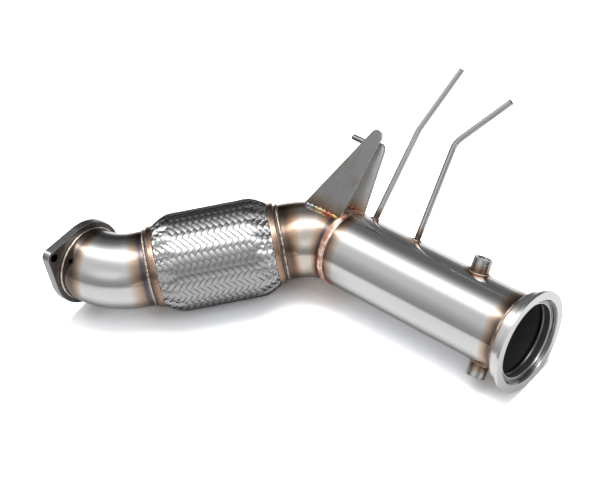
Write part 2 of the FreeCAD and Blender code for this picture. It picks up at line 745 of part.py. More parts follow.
rear_start = sizes.main_length - sizes.hanger_place
front_start = rear_start + sizes.front_step
radius_number = pipe_radius.number
foot_slope = math.radians(sizes.rear_foot_angle.number)
front_frame = leaning(front_start, 0.0, radius_number, sizes.front_lean)
rear_foot_y = radius_number * math.cos(foot_slope)
rear_foot_z = radius_number * math.sin(foot_slope)
rear_frame = leaning(rear_start, rear_foot_y, rear_foot_z, sizes.rear_lean)
front_blank = plate_blank("FrontBlank", sizes.front_foot, sizes.front_height, sizes.front_tip, front_frame)
rear_blank = plate_blank("RearBlank", sizes.rear_foot, sizes.rear_height, sizes.rear_tip, rear_frame)


def pipe_block():
    """The pipe at the bracket as a solid block, with the weld ring round it."""
    straight = cylinder("BlockMain", pipe_radius, main_run + sizes.elbow_stub, main_frame)
    bend = doc.addObject("Part::Torus", "BlockBend")
    bend.setExpression("Radius1", sizes.joining_radius.text)
    bend.setExpression("Radius2", pipe_radius.text)
    bend.setExpression("Angle3", sizes.joining_turn.text)
    centre = moved(sizes.elbow_stub.number, sizes.joining_radius.number)
    bend.Placement = joint_frame * centre * turned_about(Z_AXIS, -90)
    ring = weld_ring("BlockRing", pipe_radius, -half_bead, joint_frame)
    ring.Placement = joint_frame
    return fused("Block", [straight, bend, ring])


block = pipe_block()
keep(cut_piece("FrontPlate", front_blank, [block]), "bracket_front_plate")
keep(cut_piece("RearPlate", rear_blank, [block]), "bracket_rear_plate")


def peg_centre():
    """Where a peg rests against the front plate's back and the rear plate's face."""
    front = math.radians(sizes.front_lean.number)
    rear = math.radians(sizes.rear_lean.number)
    peg = sizes.peg_diameter.number / 2
    front_normal = (-math.sin(front), math.cos(front))
    rear_normal = (-math.sin(rear), math.cos(rear))
    front_offset = front_frame.Base.y * front_normal[0] + front_frame.Base.z * front_normal[1]
    front_offset -= sizes.hanger_sheet.number + peg
    rear_offset = rear_frame.Base.y * rear_normal[0] + rear_frame.Base.z * rear_normal[1] + peg
    cross = front_normal[0] * rear_normal[1] - front_normal[1] * rear_normal[0]
    across = (front_offset * rear_normal[1] - rear_offset * front_normal[1]) / cross
    up = (front_normal[0] * rear_offset - rear_normal[0] * front_offset) / cross
    return across, up


peg_y, peg_z = peg_centre()
peg_frame = moved(-front_start.number, peg_y, peg_z) * turned_about(Z_AXIS, 180)
peg = cylinder("Peg", sizes.peg_diameter / 2, sizes.peg_length, peg_frame)
keep(peg, "bracket_peg")


def foot_weld(name, foot, frame, blank):
    """A bead along a plate's foot, on both of its sides."""
    run = frame * moved(-foot.number, 0, -sizes.hanger_sheet.number / 2)
    bar = cylinder(name + "Bar", sizes.fillet_size + sizes.hanger_sheet / 2, foot, run)
    return cut_piece(name, bar, [blank, block])


keep(foot_weld("FrontFootWeld", sizes.front_foot, front_frame, front_blank), "weld_bracket_front")
keep(foot_weld("RearFootWeld", sizes.rear_foot, rear_frame, rear_blank), "weld_bracket_rear")


# Build, check and write
doc.recompute()
faults = [f"{item.Name}: {item.State}" for item in doc.Objects if {"Invalid", "Error"} & set(item.State)]
for piece in nodes:
    if piece.Shape.isNull() or not piece.Shape.isValid() or not piece.Shape.Solids:
        faults.append(f"{piece.Label}: its shape is empty or not valid")
if faults:
    raise RuntimeError("; ".join(faults))
os.makedirs("parts", exist_ok=True)
for piece in nodes:
    box = piece.Shape.BoundBox
    solids = len(piece.Shape.Solids)
    print(f"{piece.Label}: {solids} solid, {piece.Shape.Volume:.0f} mm3, x {box.XMin:.1f} to {box.XMax:.1f},"
          f" y {box.YMin:.1f} to {box.YMax:.1f}, z {box.ZMin:.1f} to {box.ZMax:.1f}")
    piece.Shape.exportStep(f"parts/{piece.Label}.step")
print(len(nodes), "nodes")
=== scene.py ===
# %% [markdown]
# # A turbo downpipe in stainless steel
# The frame is the part as it was drawn in CAD. Its solids have the right sizes,
# but they are plain. Here each visible piece is built again in mesh code at the
# same place, with rounded edges, rippled welds and woven wire, and then it gets
# a finish. Loading the frame first means that nothing has to be fitted later.

# %% Load the frame
import math

import bpy
import numpy as np
from mathutils import Matrix, Vector
from mathutils.geometry import tessellate_polygon


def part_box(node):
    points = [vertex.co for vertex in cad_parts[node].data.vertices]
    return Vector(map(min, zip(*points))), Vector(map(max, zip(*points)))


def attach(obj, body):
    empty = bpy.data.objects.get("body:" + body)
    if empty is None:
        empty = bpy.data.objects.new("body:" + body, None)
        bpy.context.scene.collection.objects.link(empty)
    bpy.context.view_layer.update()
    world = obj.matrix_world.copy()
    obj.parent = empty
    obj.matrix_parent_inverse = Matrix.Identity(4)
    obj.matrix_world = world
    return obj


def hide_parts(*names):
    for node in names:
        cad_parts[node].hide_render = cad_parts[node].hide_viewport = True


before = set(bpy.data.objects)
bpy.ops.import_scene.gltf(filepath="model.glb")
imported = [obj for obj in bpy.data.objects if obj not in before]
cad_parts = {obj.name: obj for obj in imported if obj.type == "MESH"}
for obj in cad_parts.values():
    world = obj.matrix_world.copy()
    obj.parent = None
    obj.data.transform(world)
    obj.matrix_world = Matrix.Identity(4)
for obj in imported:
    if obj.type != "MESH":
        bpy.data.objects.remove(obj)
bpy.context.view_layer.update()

# %% [markdown]
# The pipe is a route: straight, bend, flex, bend back. Every round piece lies
# somewhere on it, so the route comes first, as a chain of frames. In each frame
# x runs along the gas, z is up, and the first bend turns to +y. An elbow is four
# values: a straight lead, the bend's radius and its turn in degrees, and a
# straight reach. Lengths are in millimetres here and become metres when a mesh
# is made.

# %% The route of the pipe
MILLIMETRE = 0.001
PIPE = 38.05
BORE = 36.55
MAIN_LENGTH = 222.0
JOINING = (2.5, 65.0, 49.7, 8.4)
FLEX_LENGTH = 134.5
OUTLET = (9.0, 69.5, 46.0, 6.0)
PLATE_THICKNESS = 9.0
PIPE_SETBACK = 2.0


def moved(x=0.0, y=0.0, z=0.0):
    return Matrix.Translation((x, y, z))


def turned(axis, degrees):
    return Matrix.Rotation(math.radians(degrees), 4, axis)


def past_elbow(start, elbow):
    """The frame at the far end of an elbow."""
    lead, radius, turn, reach = elbow
    bend = moved(lead) @ moved(0, radius) @ turned("Z", turn)
    return start @ bend @ moved(0, -radius) @ moved(reach)


def elbow_length(elbow):
    lead, radius, turn, reach = elbow
    return lead + radius * math.radians(turn) + reach


main_frame = turned("Z", 180)
joint_frame = main_frame @ moved(MAIN_LENGTH)
flex_frame = past_elbow(joint_frame, JOINING)
outlet_frame = flex_frame @ moved(FLEX_LENGTH) @ turned("X", 180)
plate_frame = past_elbow(outlet_frame, OUTLET) @ turned("X", 180)
FLEX_RUN = MAIN_LENGTH + elbow_length(JOINING)
OUTLET_RUN = FLEX_RUN + FLEX_LENGTH
PLATE_RUN = OUTLET_RUN + elbow_length(OUTLET)
print("flex from", round(FLEX_RUN, 1), "to", round(OUTLET_RUN, 1), "mm along the route")

# %% [markdown]
# Turned and bent pieces have one thing in common: a closed outline carried round
# and along a line. Real edges are never quite sharp, and a small radius catches
# the light, so each corner of the outline is replaced by an arc. A bevel modifier
# could do that too, but the arc also gives exact normals, which keeps the long
# reflections on polished steel smooth.

# %% Outlines with rounded corners
ARC_STEPS = 4
ARC_SHARE = 0.45
UNLIMITED = 1e9


def unit(vector):
    return vector / np.linalg.norm(vector)


def corner_arc(before, here, ahead, size, hand):
    """Points and outward normals of the arc that replaces one corner."""
    way_in, way_out = unit(here - before), unit(ahead - here)
    cross = way_in[0] * way_out[1] - way_in[1] * way_out[0]
    angle = math.atan2(cross, way_in @ way_out)
    half = math.tan(abs(angle) / 2)
    shortest = min(np.linalg.norm(here - before), np.linalg.norm(ahead - here))
    reach = min(size * half, ARC_SHARE * shortest)
    sense = 1 if cross * hand > 0 else -1
    facing = hand * np.array([way_in[1], -way_in[0]])
    centre = here - way_in * reach - sense * reach / half * facing
    turn = angle * np.arange(ARC_STEPS + 1) / ARC_STEPS
    normals = np.stack([facing[0] * np.cos(turn) - facing[1] * np.sin(turn),
                        facing[0] * np.sin(turn) + facing[1] * np.cos(turn)], axis=1)
    return centre + sense * reach / half * normals, normals


def stepped(points, normals, longest):
    """The same outline, with its long stretches cut into steps."""
    full_points, full_normals = [], []
    for index, start in enumerate(points):
        following = (index + 1) % len(points)
        way = points[following] - start
        steps = max(1, math.ceil(np.linalg.norm(way) / longest))
        for step in range(steps):
            full_points.append(start + way * (step / steps))
            full_normals.append(normals[following if step else index])
    return np.array(full_points), np.array(full_normals)


def rounded(corners, longest=UNLIMITED):
    """Points and outward normals of an outline of (along, radius, round) corners."""
    shape = np.array([corner[:2] for corner in corners], float)
    after = np.roll(shape, -1, axis=0)
    hand = 1 if np.sum(shape[:, 0] * after[:, 1] - after[:, 0] * shape[:, 1]) > 0 else -1
    arcs = [corner_arc(shape[index - 1], here, after[index], corners[index][2], hand)
            for index, here in enumerate(shape)]
    points, normals = [np.concatenate(part) for part in zip(*arcs)]
    return stepped(points, normals, longest)


plain_outline = [(0, BORE, 0.2), (0, PIPE, 0.2), (5, PIPE, 0.2), (5, BORE, 0.2)]
print("a plain ring of 4 corners becomes an outline of", len(rounded(plain_outline)[0]), "points")

# %% [markdown]
# Three kinds of piece are made here from bare vertices: grids, woven bands and
# flat plates. What they share is one function. It also lays each face corner on
# an unrolled sheet, which says how far round the pipe the corner is and how far
# along the route. Grain and heat tint are laid out on that sheet later.

# %% A new piece
UNROLLED = "unrolled"


def full_turn(count):
    """Angles of equal steps round a circle."""
    return np.arange(count) / count * 2 * math.pi


def spun(along, radius, angle):
    """Points from places along x, and radii and angles round x."""
    return np.stack(np.broadcast_arrays(along, radius * np.cos(angle), radius * np.sin(angle)), axis=-1)


def unrolled(rows, columns, radius):
    """How far round each column lies, with one more column where the sheet closes."""
    return np.broadcast_to(np.arange(columns + 1) / columns * 2 * math.pi * radius, (rows, columns + 1))


def to_frame(vectors, place, point=True):
    """Vectors of a frame in the scene's own axes, and moved there if they are points."""
    matrix = np.array(place)
    turned_vectors = vectors @ matrix[:3, :3].T
    return turned_vectors + matrix[:3, 3] if point else turned_vectors


def new_piece(name, vertices, faces, sheet):
    """An object from vertices in millimetres, faces, and a sheet place for each face corner."""
    mesh = bpy.data.meshes.new(name)
    mesh.from_pydata((vertices * MILLIMETRE).tolist(), [], faces)
    layer = mesh.uv_layers.new(name=UNROLLED)
    layer.data.foreach_set("uv", (sheet.reshape(-1, 2) * MILLIMETRE).astype(np.float32).ravel())
    mesh.shade_smooth()
    piece = bpy.data.objects.new(name, mesh)
    bpy.context.scene.collection.objects.link(piece)
    return piece


print("once round the pipe is", round(unrolled(1, 160, PIPE)[0, -1], 1), "mm on the sheet")

# %% [markdown]
# A mesh of rows and columns is enough for every round piece. It is filled with
# whole arrays, because a loop over a hundred thousand faces is slow. The columns
# always close into a ring. The rows close too, unless the piece is a bead with
# two ends. Faces that come out facing inwards are turned over.

# %% Meshes from rows and columns
def enclosed(flat, faces):
    """Six times the volume inside the faces, and below zero if they face inwards."""
    a, b, c, d = [flat[faces[:, corner]] for corner in range(4)]
    return np.sum(a * np.cross(b, c) + a * np.cross(c, d))


def grid_mesh(name, points, around, run, normals=None, sharp_angle=None, inside=None, closed=True):
    """A piece from points[row, column], in millimetres, with its unrolled sheet."""
    rows, columns = points.shape[:2]
    first_rows = np.arange(rows if closed else rows - 1)
    r, c = [part.ravel() for part in np.meshgrid(first_rows, np.arange(columns), indexing="ij")]
    corners = [((r + i) % rows, c + j) for i, j in ((0, 0), (0, 1), (1, 1), (1, 0))]
    faces = np.stack([i * columns + j % columns for i, j in corners], axis=1)
    sheet = np.stack([np.stack([around[i, j], run[i, j % columns]], axis=1) for i, j in corners], axis=1)
    flat = points.reshape(-1, 3)
    if enclosed(flat, faces) < 0:
        faces, sheet = faces[:, ::-1], sheet[:, ::-1]
    piece = new_piece(name, flat, faces.tolist(), sheet)
    if sharp_angle is not None:
        piece.data.set_sharp_from_angle(angle=math.radians(sharp_angle))
    if normals is not None:
        piece.data.normals_split_custom_set_from_vertices(normals.reshape(-1, 3).tolist())
    if inside is not None:
        piece.data.polygons.foreach_set("material_index", inside[r].astype(np.int32))
    return piece


print("a pipe of 192 columns has faces", round(unrolled(1, 192, PIPE)[0, 1], 2), "mm wide")

# %% [markdown]
# A turned piece is its outline carried round an axis. An elbow is the same thing
# with the axis bent, so one function makes both: it asks the path for a centre,
# a tangent and a side at each point of the outline. A bored piece takes its
# second finish on the faces that look inwards.

# %% Turned and bent pieces
def on_path(along, lead=UNLIMITED, radius=1.0, turn=0.0):
    """Centre, tangent and side where a path runs straight, bends to +y and runs on."""
    turn = math.radians(turn)
    angle = np.clip((along - lead) / radius, 0.0, turn)
    before = np.minimum(along, lead)
    after = np.maximum(along - lead - radius * turn, 0.0)
    zero = np.zeros_like(along)
    centre = np.stack([before + radius * np.sin(angle) + after * np.cos(angle),
                       radius * (1 - np.cos(angle)) + after * np.sin(angle), zero], axis=-1)
    tangent = np.stack([np.cos(angle), np.sin(angle), zero], axis=-1)
    side = np.stack([-np.sin(angle), np.cos(angle), zero], axis=-1)
    return centre, tangent, side


INWARD = -0.7


def turned_piece(name, corners, place, run_start=0.0, path=(), segments=160, longest=UNLIMITED, bored=False):
    """An outline turned about its frame's x, or carried along a bent path."""
    outline, facing = rounded(corners, longest)
    along, radius = outline.T
    centre, tangent, side = on_path(along, *path)
    angle = full_turn(segments)
    up = np.array([0.0, 0.0, 1.0])
    out = side[:, None, :] * np.cos(angle)[None, :, None] + up * np.sin(angle)[None, :, None]
    points = centre[:, None, :] + out * radius[:, None, None]
    normals = tangent[:, None, :] * facing[:, 0][:, None, None] + out * facing[:, 1][:, None, None]
    run = np.repeat((run_start + along)[:, None], segments, axis=1)
    inside = (facing[:, 1] < INWARD) & (np.roll(facing[:, 1], -1) < INWARD)
    return grid_mesh(name, to_frame(points, place), unrolled(len(along), segments, PIPE), run,
                     to_frame(normals, place, False), inside=inside if bored else None)


bend_end, _, _ = on_path(np.array([elbow_length(JOINING)]), *JOINING[:3])
print("the joining elbow ends at", [round(value, 1) for value in bend_end[0]], "in its own frame")

# %% [markdown]
# A finish in Blender is a graph of nodes. A few short helpers keep the graphs
# readable. One adds a node and plugs its inputs, and the others are the nodes
# that come back in every finish: maths, a remapped value, noise, a colour ramp
# and a mix.

# %% Helpers for node graphs
def node(tree, kind, inputs=None, **settings):
    """Adds a node, sets it up, and plugs or sets its inputs."""
    made = tree.nodes.new(kind)
    for key, value in settings.items():
        setattr(made, key, value)
    for key, value in (inputs or {}).items():
        if isinstance(value, bpy.types.NodeSocket):
            tree.links.new(value, made.inputs[key])
        else:
            made.inputs[key].default_value = value
    return made


def maths(tree, operation, *values):
    return node(tree, "ShaderNodeMath", dict(enumerate(values)), operation=operation).outputs[0]


def vector_maths(tree, operation, *vectors):
    return node(tree, "ShaderNodeVectorMath", dict(enumerate(vectors)), operation=operation).outputs


def scaled(tree, vector, scale):
    inputs = {0: vector, "Scale": scale}
    return node(tree, "ShaderNodeVectorMath", inputs, operation="SCALE").outputs["Vector"]


def parts_of(tree, vector):
    """The X, Y and Z of a vector."""
    return node(tree, "ShaderNodeSeparateXYZ", {0: vector}).outputs


def mapped(tree, value, start, end, first, last, smooth=False):
    """A value that runs from start to end, turned into one from first to last."""
    inputs = {"Value": value, "From Min": start, "From Max": end, "To Min": first, "To Max": last}
    interpolation = "SMOOTHSTEP" if smooth else "LINEAR"
    return node(tree, "ShaderNodeMapRange", inputs, interpolation_type=interpolation).outputs["Result"]


def noise(tree, vector, scale, detail, roughness=0.5):
    inputs = {"Vector": vector, "Scale": scale, "Detail": detail, "Roughness": roughness}
    return node(tree, "ShaderNodeTexNoise", inputs).outputs["Fac"]


def ramp(tree, factor, stops):
    """A colour ramp of (place, colour) stops, where a colour may be one grey value."""
    made = node(tree, "ShaderNodeValToRGB", {"Fac": factor})
    elements = made.color_ramp.elements
    while len(elements) < len(stops):
        elements.new(0.5)
    for element, (place, colour) in zip(elements, stops):
        grey = (colour,) * 3 if isinstance(colour, (int, float)) else colour
        element.position = place
        element.color = (*grey, 1.0)
    return made.outputs["Color"]


def mixed(tree, factor, first, second, blend="MIX"):
    """Two colours mixed. The node keeps its colour sockets behind those for values."""
    inputs = {0: factor, 6: first, 7: second}
    return node(tree, "ShaderNodeMix", inputs, data_type="RGBA", blend_type=blend).outputs[2]


print("node helpers: maths, vector maths, remapped values, noise, ramps and mixes")

# %% [markdown]
# Every finish here starts as steel: the Principled shader with Metallic at 1. A
# value that is the same all over is set on the shader's own socket, and what
# varies is plugged in. Relief finer than the mesh, such as polishing lines, is a
# bump, because it is too small to show at the outline.

# %% A new finish
BUMP_DEPTH = 0.3


def shader_of(material):
    return material.node_tree.nodes["Principled BSDF"]


def set_shader(material, **values):
    """Sets constants on the shader's own sockets, with _ for the space in a name."""
    for socket, value in values.items():
        shader_of(material).inputs[socket.replace("_", " ")].default_value = value


def new_finish(name):
    """A metallic material with nothing plugged in yet, its node tree and its shader's inputs."""
    material = bpy.data.materials.new(name)
    material.use_nodes = True
    set_shader(material, Metallic=1.0)
    return material, material.node_tree, shader_of(material).inputs


def bump(tree, height, strength):
    """The normals of a surface with small heights that aren't in its mesh."""
    inputs = {"Height": height, "Strength": strength, "Distance": BUMP_DEPTH * MILLIMETRE}
    return node(tree, "ShaderNodeBump", inputs).outputs["Normal"]


print("a bump stands up by at most", BUMP_DEPTH, "mm")

# %% [markdown]
# Stainless steel that has been welded shows bands of colour beside each bead:
# dark where it was hottest, then brown, then straw. It is one effect in many
# finishes, so it is a group. It takes a distance from the weld, counted in
# widths of the tint, and gives the colour that the steel is multiplied by. A
# slow noise makes the edge of the tint wander, and a second input turns it blue.

# %% The heat tint group
HEAT_COLOURS = [(0.0, (0.32, 0.24, 0.20)), (0.26, (0.22, 0.18, 0.16)), (0.36, (0.34, 0.25, 0.20)),
                (0.48, (0.52, 0.37, 0.28)), (0.64, (0.74, 0.56, 0.43)), (0.82, (0.90, 0.79, 0.67)),
                (1.0, (1.0, 1.0, 1.0))]
HEAT_BLUE = (0.15, 0.155, 0.21, 1.0)
WANDER_SCALE = 55.0


def new_group(name, inputs, outputs):
    """A node group with (name, kind, value) inputs and (name, kind) outputs."""
    group = bpy.data.node_groups.new(name, "ShaderNodeTree")
    for label, kind, value in inputs:
        socket = group.interface.new_socket(name=label, in_out="INPUT", socket_type=kind)
        if value is not None:
            socket.default_value = value
    for label, kind in outputs:
        group.interface.new_socket(name=label, in_out="OUTPUT", socket_type=kind)
    start = group.nodes.new("NodeGroupInput")
    end = group.nodes.new("NodeGroupOutput")
    return group, start.outputs, end.inputs


def make_heat_tint():
    group, given, result = new_group(
        "heat_tint",
        [("Distance", "NodeSocketFloat", 1.0), ("Position", "NodeSocketVector", None),
         ("Wander", "NodeSocketFloat", 0.3), ("Blue", "NodeSocketFloat", 0.0)],
        [("Colour", "NodeSocketColor")])
    drift = maths(group, "SUBTRACT", noise(group, given["Position"], WANDER_SCALE, 3.0), 0.5)
    distance = maths(group, "ADD", given["Distance"], maths(group, "MULTIPLY", drift, given["Wander"]))
    browns = ramp(group, distance, HEAT_COLOURS)
    group.links.new(mixed(group, given["Blue"], browns, HEAT_BLUE), result["Colour"])
    return group


heat_tint = make_heat_tint()


def heat_tinted(tree, colour, distance, position, wander, blue=0.0):
    """A colour multiplied by the heat tint."""
    inputs = {"Distance": distance, "Position": position, "Wander": wander, "Blue": blue}
    tint = node(tree, "ShaderNodeGroup", inputs, node_tree=heat_tint).outputs["Colour"]
    return mixed(tree, 1.0, colour, tint, "MULTIPLY")


print(heat_tint.name, "has", len(HEAT_COLOURS), "colours and", len(heat_tint.nodes), "nodes")

# %% [markdown]
# Drawn and polished pipe keeps faint lines from the polishing belt. Noise that
# is stretched along one direction of the unrolled sheet gives such lines. The
# group puts out a value for the roughness and a height for a bump. With other
# values the same group gives the rings that a lathe leaves on a turned piece.

# %% The polishing grain group
def make_polishing_grain():
    group, given, result = new_group(
        "polishing_grain",
        [("Sheet", "NodeSocketVector", None), ("Lines", "NodeSocketFloat", 900.0),
         ("Length", "NodeSocketFloat", 25.0)],
        [("Value", "NodeSocketFloat"), ("Height", "NodeSocketFloat")])
    sheet = parts_of(group, given["Sheet"])
    across = maths(group, "MULTIPLY", sheet["X"], given["Lines"])
    lengthways = maths(group, "MULTIPLY", sheet["Y"], given["Length"])
    stretched = node(group, "ShaderNodeCombineXYZ", {"X": across, "Y": lengthways}).outputs[0]
    lines = noise(group, stretched, 1.0, 4.0, 0.6)
    group.links.new(lines, result["Value"])
    group.links.new(lines, result["Height"])
    return group


grain_group = make_polishing_grain()
print(grain_group.name, "has", len(grain_group.nodes), "nodes")

# %% [markdown]
# Heat tint lies beside welds, so their places come before the finishes. A weld
# round the pipe is a place on the route. Each bung and thin tube stands on the
# main tube at a place along it and an angle round it, and its foot there is the
# middle of a round patch of tint.

# %% Places of the welds
UPPER_BUNG = (73.0, 52.0)
LOWER_BUNG = (38.0, 227.0)
REAR_TUBE = (204.5, 38.5)
FRONT_TUBE = (148.5, 47.5)
BUNG_RADIUS = 9.0
TUBE_RADIUS = 3.0
VBAND_WELD_RUN = 16.4
PLATE_WELD_RUN = PLATE_RUN - 2.4


def on_pipe(place, angle):
    """A frame on the main tube's axis with x out through the wall and y to the V-band."""
    slope = math.radians(angle)
    out = Vector((0, math.cos(slope), math.sin(slope)))
    to_vband = Vector((1, 0, 0))
    side = out.cross(to_vband)
    frame_matrix = Matrix((out, to_vband, side)).transposed().to_4x4()
    frame_matrix.translation = (-place, 0, 0)
    return frame_matrix


def foot_of(place):
    return on_pipe(*place) @ Vector((PIPE, 0, 0))


bung_feet = [foot_of(UPPER_BUNG), foot_of(LOWER_BUNG)]
tube_feet = [foot_of(REAR_TUBE), foot_of(FRONT_TUBE)]
print("bung feet at", [[round(value, 1) for value in foot] for foot in bung_feet])

# %% [markdown]
# The tint needs one number: how far the nearest weld is. A ring of tint is
# (place, reach before, reach after, sharpness), since the metal on the two sides
# of a weld doesn't heat the same, and a sharpness above 1 keeps the brown dark
# for longer. A spot is (foot, radius, reach) for a bung or a thin tube. The
# nearest of them all is the least of their shares. Thin blue lines, which some
# welds have a little way off, are measured in the same way.

# %% Distance from the nearest weld
BLUE_DEPTH = 0.9


def nearest_weld(tree, run, position, rings, spots):
    """Distance to the nearest weld, counted in widths of its tint."""
    shares = []
    for place, before, after, sharpness in rings:
        past = maths(tree, "SUBTRACT", run, place * MILLIMETRE)
        ahead = maths(tree, "DIVIDE", past, after * MILLIMETRE)
        behind = maths(tree, "POWER", maths(tree, "DIVIDE", past, -before * MILLIMETRE), sharpness)
        shares.append(maths(tree, "MAXIMUM", ahead, behind))
    for foot, radius, reach in spots:
        gap = vector_maths(tree, "DISTANCE", position, foot * MILLIMETRE)["Value"]
        outside = maths(tree, "SUBTRACT", gap, radius * MILLIMETRE)
        shares.append(maths(tree, "DIVIDE", outside, reach * MILLIMETRE))
    nearest = shares[0]
    for share in shares[1:]:
        nearest = maths(tree, "MINIMUM", nearest, share)
    return nearest


def blue_lines(tree, run, lines):
    """How blue the steel is, from lines of (place, half width) along the route."""
    deepest = 0.0
    for place, half in lines:
        gap = maths(tree, "ABSOLUTE", maths(tree, "SUBTRACT", run, place * MILLIMETRE))
        line = mapped(tree, gap, 0.0, half * MILLIMETRE, BLUE_DEPTH, 0.0, smooth=True)
        deepest = maths(tree, "MAXIMUM", deepest, line)
    return deepest


ROUTE_RINGS = [(VBAND_WELD_RUN, 9.0, 15.0, 1), (MAIN_LENGTH, 17.0, 24.0, 1), (FLEX_RUN, 24.0, 18.0, 1),
               (OUTLET_RUN, 15.0, 18.0, 1), (PLATE_WELD_RUN, 17.5, 16.0, 2)]
BLUE_LINES = [(MAIN_LENGTH + 7.4, 5.5), (OUTLET_RUN + 4.5, 2.6)]
print(len(ROUTE_RINGS), "rings of heat tint and", len(BLUE_LINES), "blue lines on the route")

# %% [markdown]
# Now the finishes themselves. All the polished ones are the same steel: the
# metallic shader with a grey base colour, and what differs is the roughness, the
# grain, and where the heat of a weld has been. A soft cloud in the colour keeps
# long surfaces from looking printed. Noise seldom leaves the range from 0.3 to
# 0.7, so that is the range that is remapped.

# %% Steel
NOISE_LOW = 0.3
NOISE_HIGH = 0.7
CLOUD_SCALE = 14.0
CLOUD_SHADE = 0.95


def steel(name, colour, roughness, spread, lines=900.0, length=25.0, relief=0.02, rings=(), spots=(),
          blues=(), wander=0.3):
    """Stainless steel with polishing lines, and with heat tint where it was welded."""
    material, tree, shader = new_finish(name)
    sheet = node(tree, "ShaderNodeUVMap", uv_map=UNROLLED).outputs["UV"]
    position = node(tree, "ShaderNodeTexCoord").outputs["Object"]
    inputs = {"Sheet": sheet, "Lines": lines, "Length": length}
    grain = node(tree, "ShaderNodeGroup", inputs, node_tree=grain_group).outputs
    rough = mapped(tree, grain["Value"], NOISE_LOW, NOISE_HIGH, roughness - spread, roughness + spread)
    shaded = tuple(CLOUD_SHADE * part for part in colour)
    cloud = noise(tree, position, CLOUD_SCALE, 2.0)
    base = ramp(tree, cloud, [(NOISE_LOW, shaded), (NOISE_HIGH, colour)])
    if rings or spots:
        run = parts_of(tree, sheet)["Y"]
        distance = nearest_weld(tree, run, position, rings, spots)
        base = heat_tinted(tree, base, distance, position, wander, blue_lines(tree, run, blues))
    tree.links.new(base, shader["Base Color"])
    tree.links.new(rough, shader["Roughness"])
    tree.links.new(bump(tree, grain["Height"], relief), shader["Normal"])
    return material


LATHE_LINES = {"lines": 60.0, "length": 2500.0}
BUNG_TINT = 7.0
TUBE_TINT = 8.0
pipe_spots = [(foot, BUNG_RADIUS, BUNG_TINT) for foot in bung_feet]
pipe_spots += [(foot, TUBE_RADIUS, TUBE_TINT) for foot in tube_feet]
pipe_steel = steel("polished pipe", (0.74, 0.74, 0.745), 0.12, 0.03, rings=ROUTE_RINGS, spots=pipe_spots,
                   blues=BLUE_LINES)
# The bore's dark colour and its low metallic value are painted shade for the inside of the tube.
bore_painted_shade_steel = steel("painted shade bore", (0.13, 0.13, 0.132), 0.36, 0.06)
set_shader(bore_painted_shade_steel, Metallic=0.35)
print("first finishes:", pipe_steel.name, "and", bore_painted_shade_steel.name)

# %% [markdown]
# Each finished piece is handed over in the same way. It gets its finishes, the
# solids it stands for are hidden, and it rides on the one body of this part.

# %% Hand a piece over
def settle(piece, slot, nodes, *finishes):
    """Gives a piece its finishes and hides the solids it stands for."""
    for finish in finishes:
        piece.data.materials.append(finish)
    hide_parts(*nodes)
    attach(piece, "root")
    print(piece.name, len(piece.data.polygons), "faces")
    return piece


# %% [markdown]
# The V-band flange is a ring turned on a lathe. Its face is flat, its back
# slopes so that a clamp can pull two of them together, and a recess in its mouth
# takes the gasket. An outline with a small radius at each corner is all it needs:
# round the back first, and then in over the seat with its ridge and its two
# small grooves. The steps of the recess lie close together and shade each other,
# so they get a darker finish of their own.

# %% V-band flange
VBAND_MOUTH = 42.4
VBAND_RIM = 50.5
VBAND_NECK = 45.0
VBAND_LENGTH = 14.0
SEAT_DEPTH = 4.5
SEAT_RADIUS = 41.5
GROOVE_PLACES = (2.85, 1.95)
GROOVE_HALF = 0.25
GROOVE_RADIUS = 41.8
RECESS_RADIUS = 42.0
RECESS_DEPTHS = (0.5, 5.0)
back_outline = [(0, VBAND_MOUTH, 0.2), (0, VBAND_RIM, 0.5), (3.2, VBAND_RIM, 0.5), (5.2, VBAND_NECK, 0.6),
                (12.5, VBAND_NECK, 0.4), (VBAND_LENGTH, 43.5, 0.4), (VBAND_LENGTH, PIPE, 0.2)]
seat_outline = [(SEAT_DEPTH, PIPE, 0.2), (SEAT_DEPTH, 39.1, 0.15), (3.7, 39.4, 0.2), (3.7, 40.3, 0.2),
                (SEAT_DEPTH, 40.6, 0.15), (SEAT_DEPTH, SEAT_RADIUS, 0.2)]
for groove in GROOVE_PLACES:
    seat_outline += [(groove + GROOVE_HALF, SEAT_RADIUS, 0.1), (groove, GROOVE_RADIUS, 0.1),
                     (groove - GROOVE_HALF, SEAT_RADIUS, 0.1)]
seat_outline.append((1.0, SEAT_RADIUS, 0.2))


def in_recess(face):
    deep = -face.center.x / MILLIMETRE
    radial = math.hypot(face.center.y, face.center.z) / MILLIMETRE
    return radial < RECESS_RADIUS and RECESS_DEPTHS[0] < deep < RECESS_DEPTHS[1]


flange_steel = steel("turned flange", (0.80, 0.80, 0.80), 0.16, 0.04, **LATHE_LINES,
                     rings=[(VBAND_WELD_RUN, 6.0, 6.0, 1)])
recess_steel = steel("shaded recess", (0.42, 0.42, 0.42), 0.16, 0.06, **LATHE_LINES)
vband = turned_piece("vband_ring", back_outline + seat_outline, main_frame, segments=256)
vband.data.polygons.foreach_set("material_index", [int(in_recess(face)) for face in vband.data.polygons])
settle(vband, "turned_flange", ["vband_flange"], flange_steel, recess_steel)

# %% [markdown]
# The main tube and the two elbows are the same pipe. The elbows could be arcs of
# a torus, but the outline carried along a bent path keeps their straight ends in
# the same mesh. Inside, the pipe is rough and its colour is painted dark, which is
# painted shade for the inside of the tube, so the faces of the bore get a second
# finish. The joining elbow is short and has a weld at each end, so it took heat
# all over: its steel is straw-coloured to begin with.

# %% Pipe and elbows
PIPE_DETAIL = {"segments": 192, "longest": 1.5, "bored": True}
PIPE_START = 4.0
main_outline = [(PIPE_START, BORE, 0.6), (PIPE_START, PIPE, 0.6),
                (MAIN_LENGTH, PIPE, 0.1), (MAIN_LENGTH, BORE, 0.1)]
heated_steel = steel("heated elbow", (0.71, 0.64, 0.58), 0.12, 0.03, rings=ROUTE_RINGS, blues=BLUE_LINES)


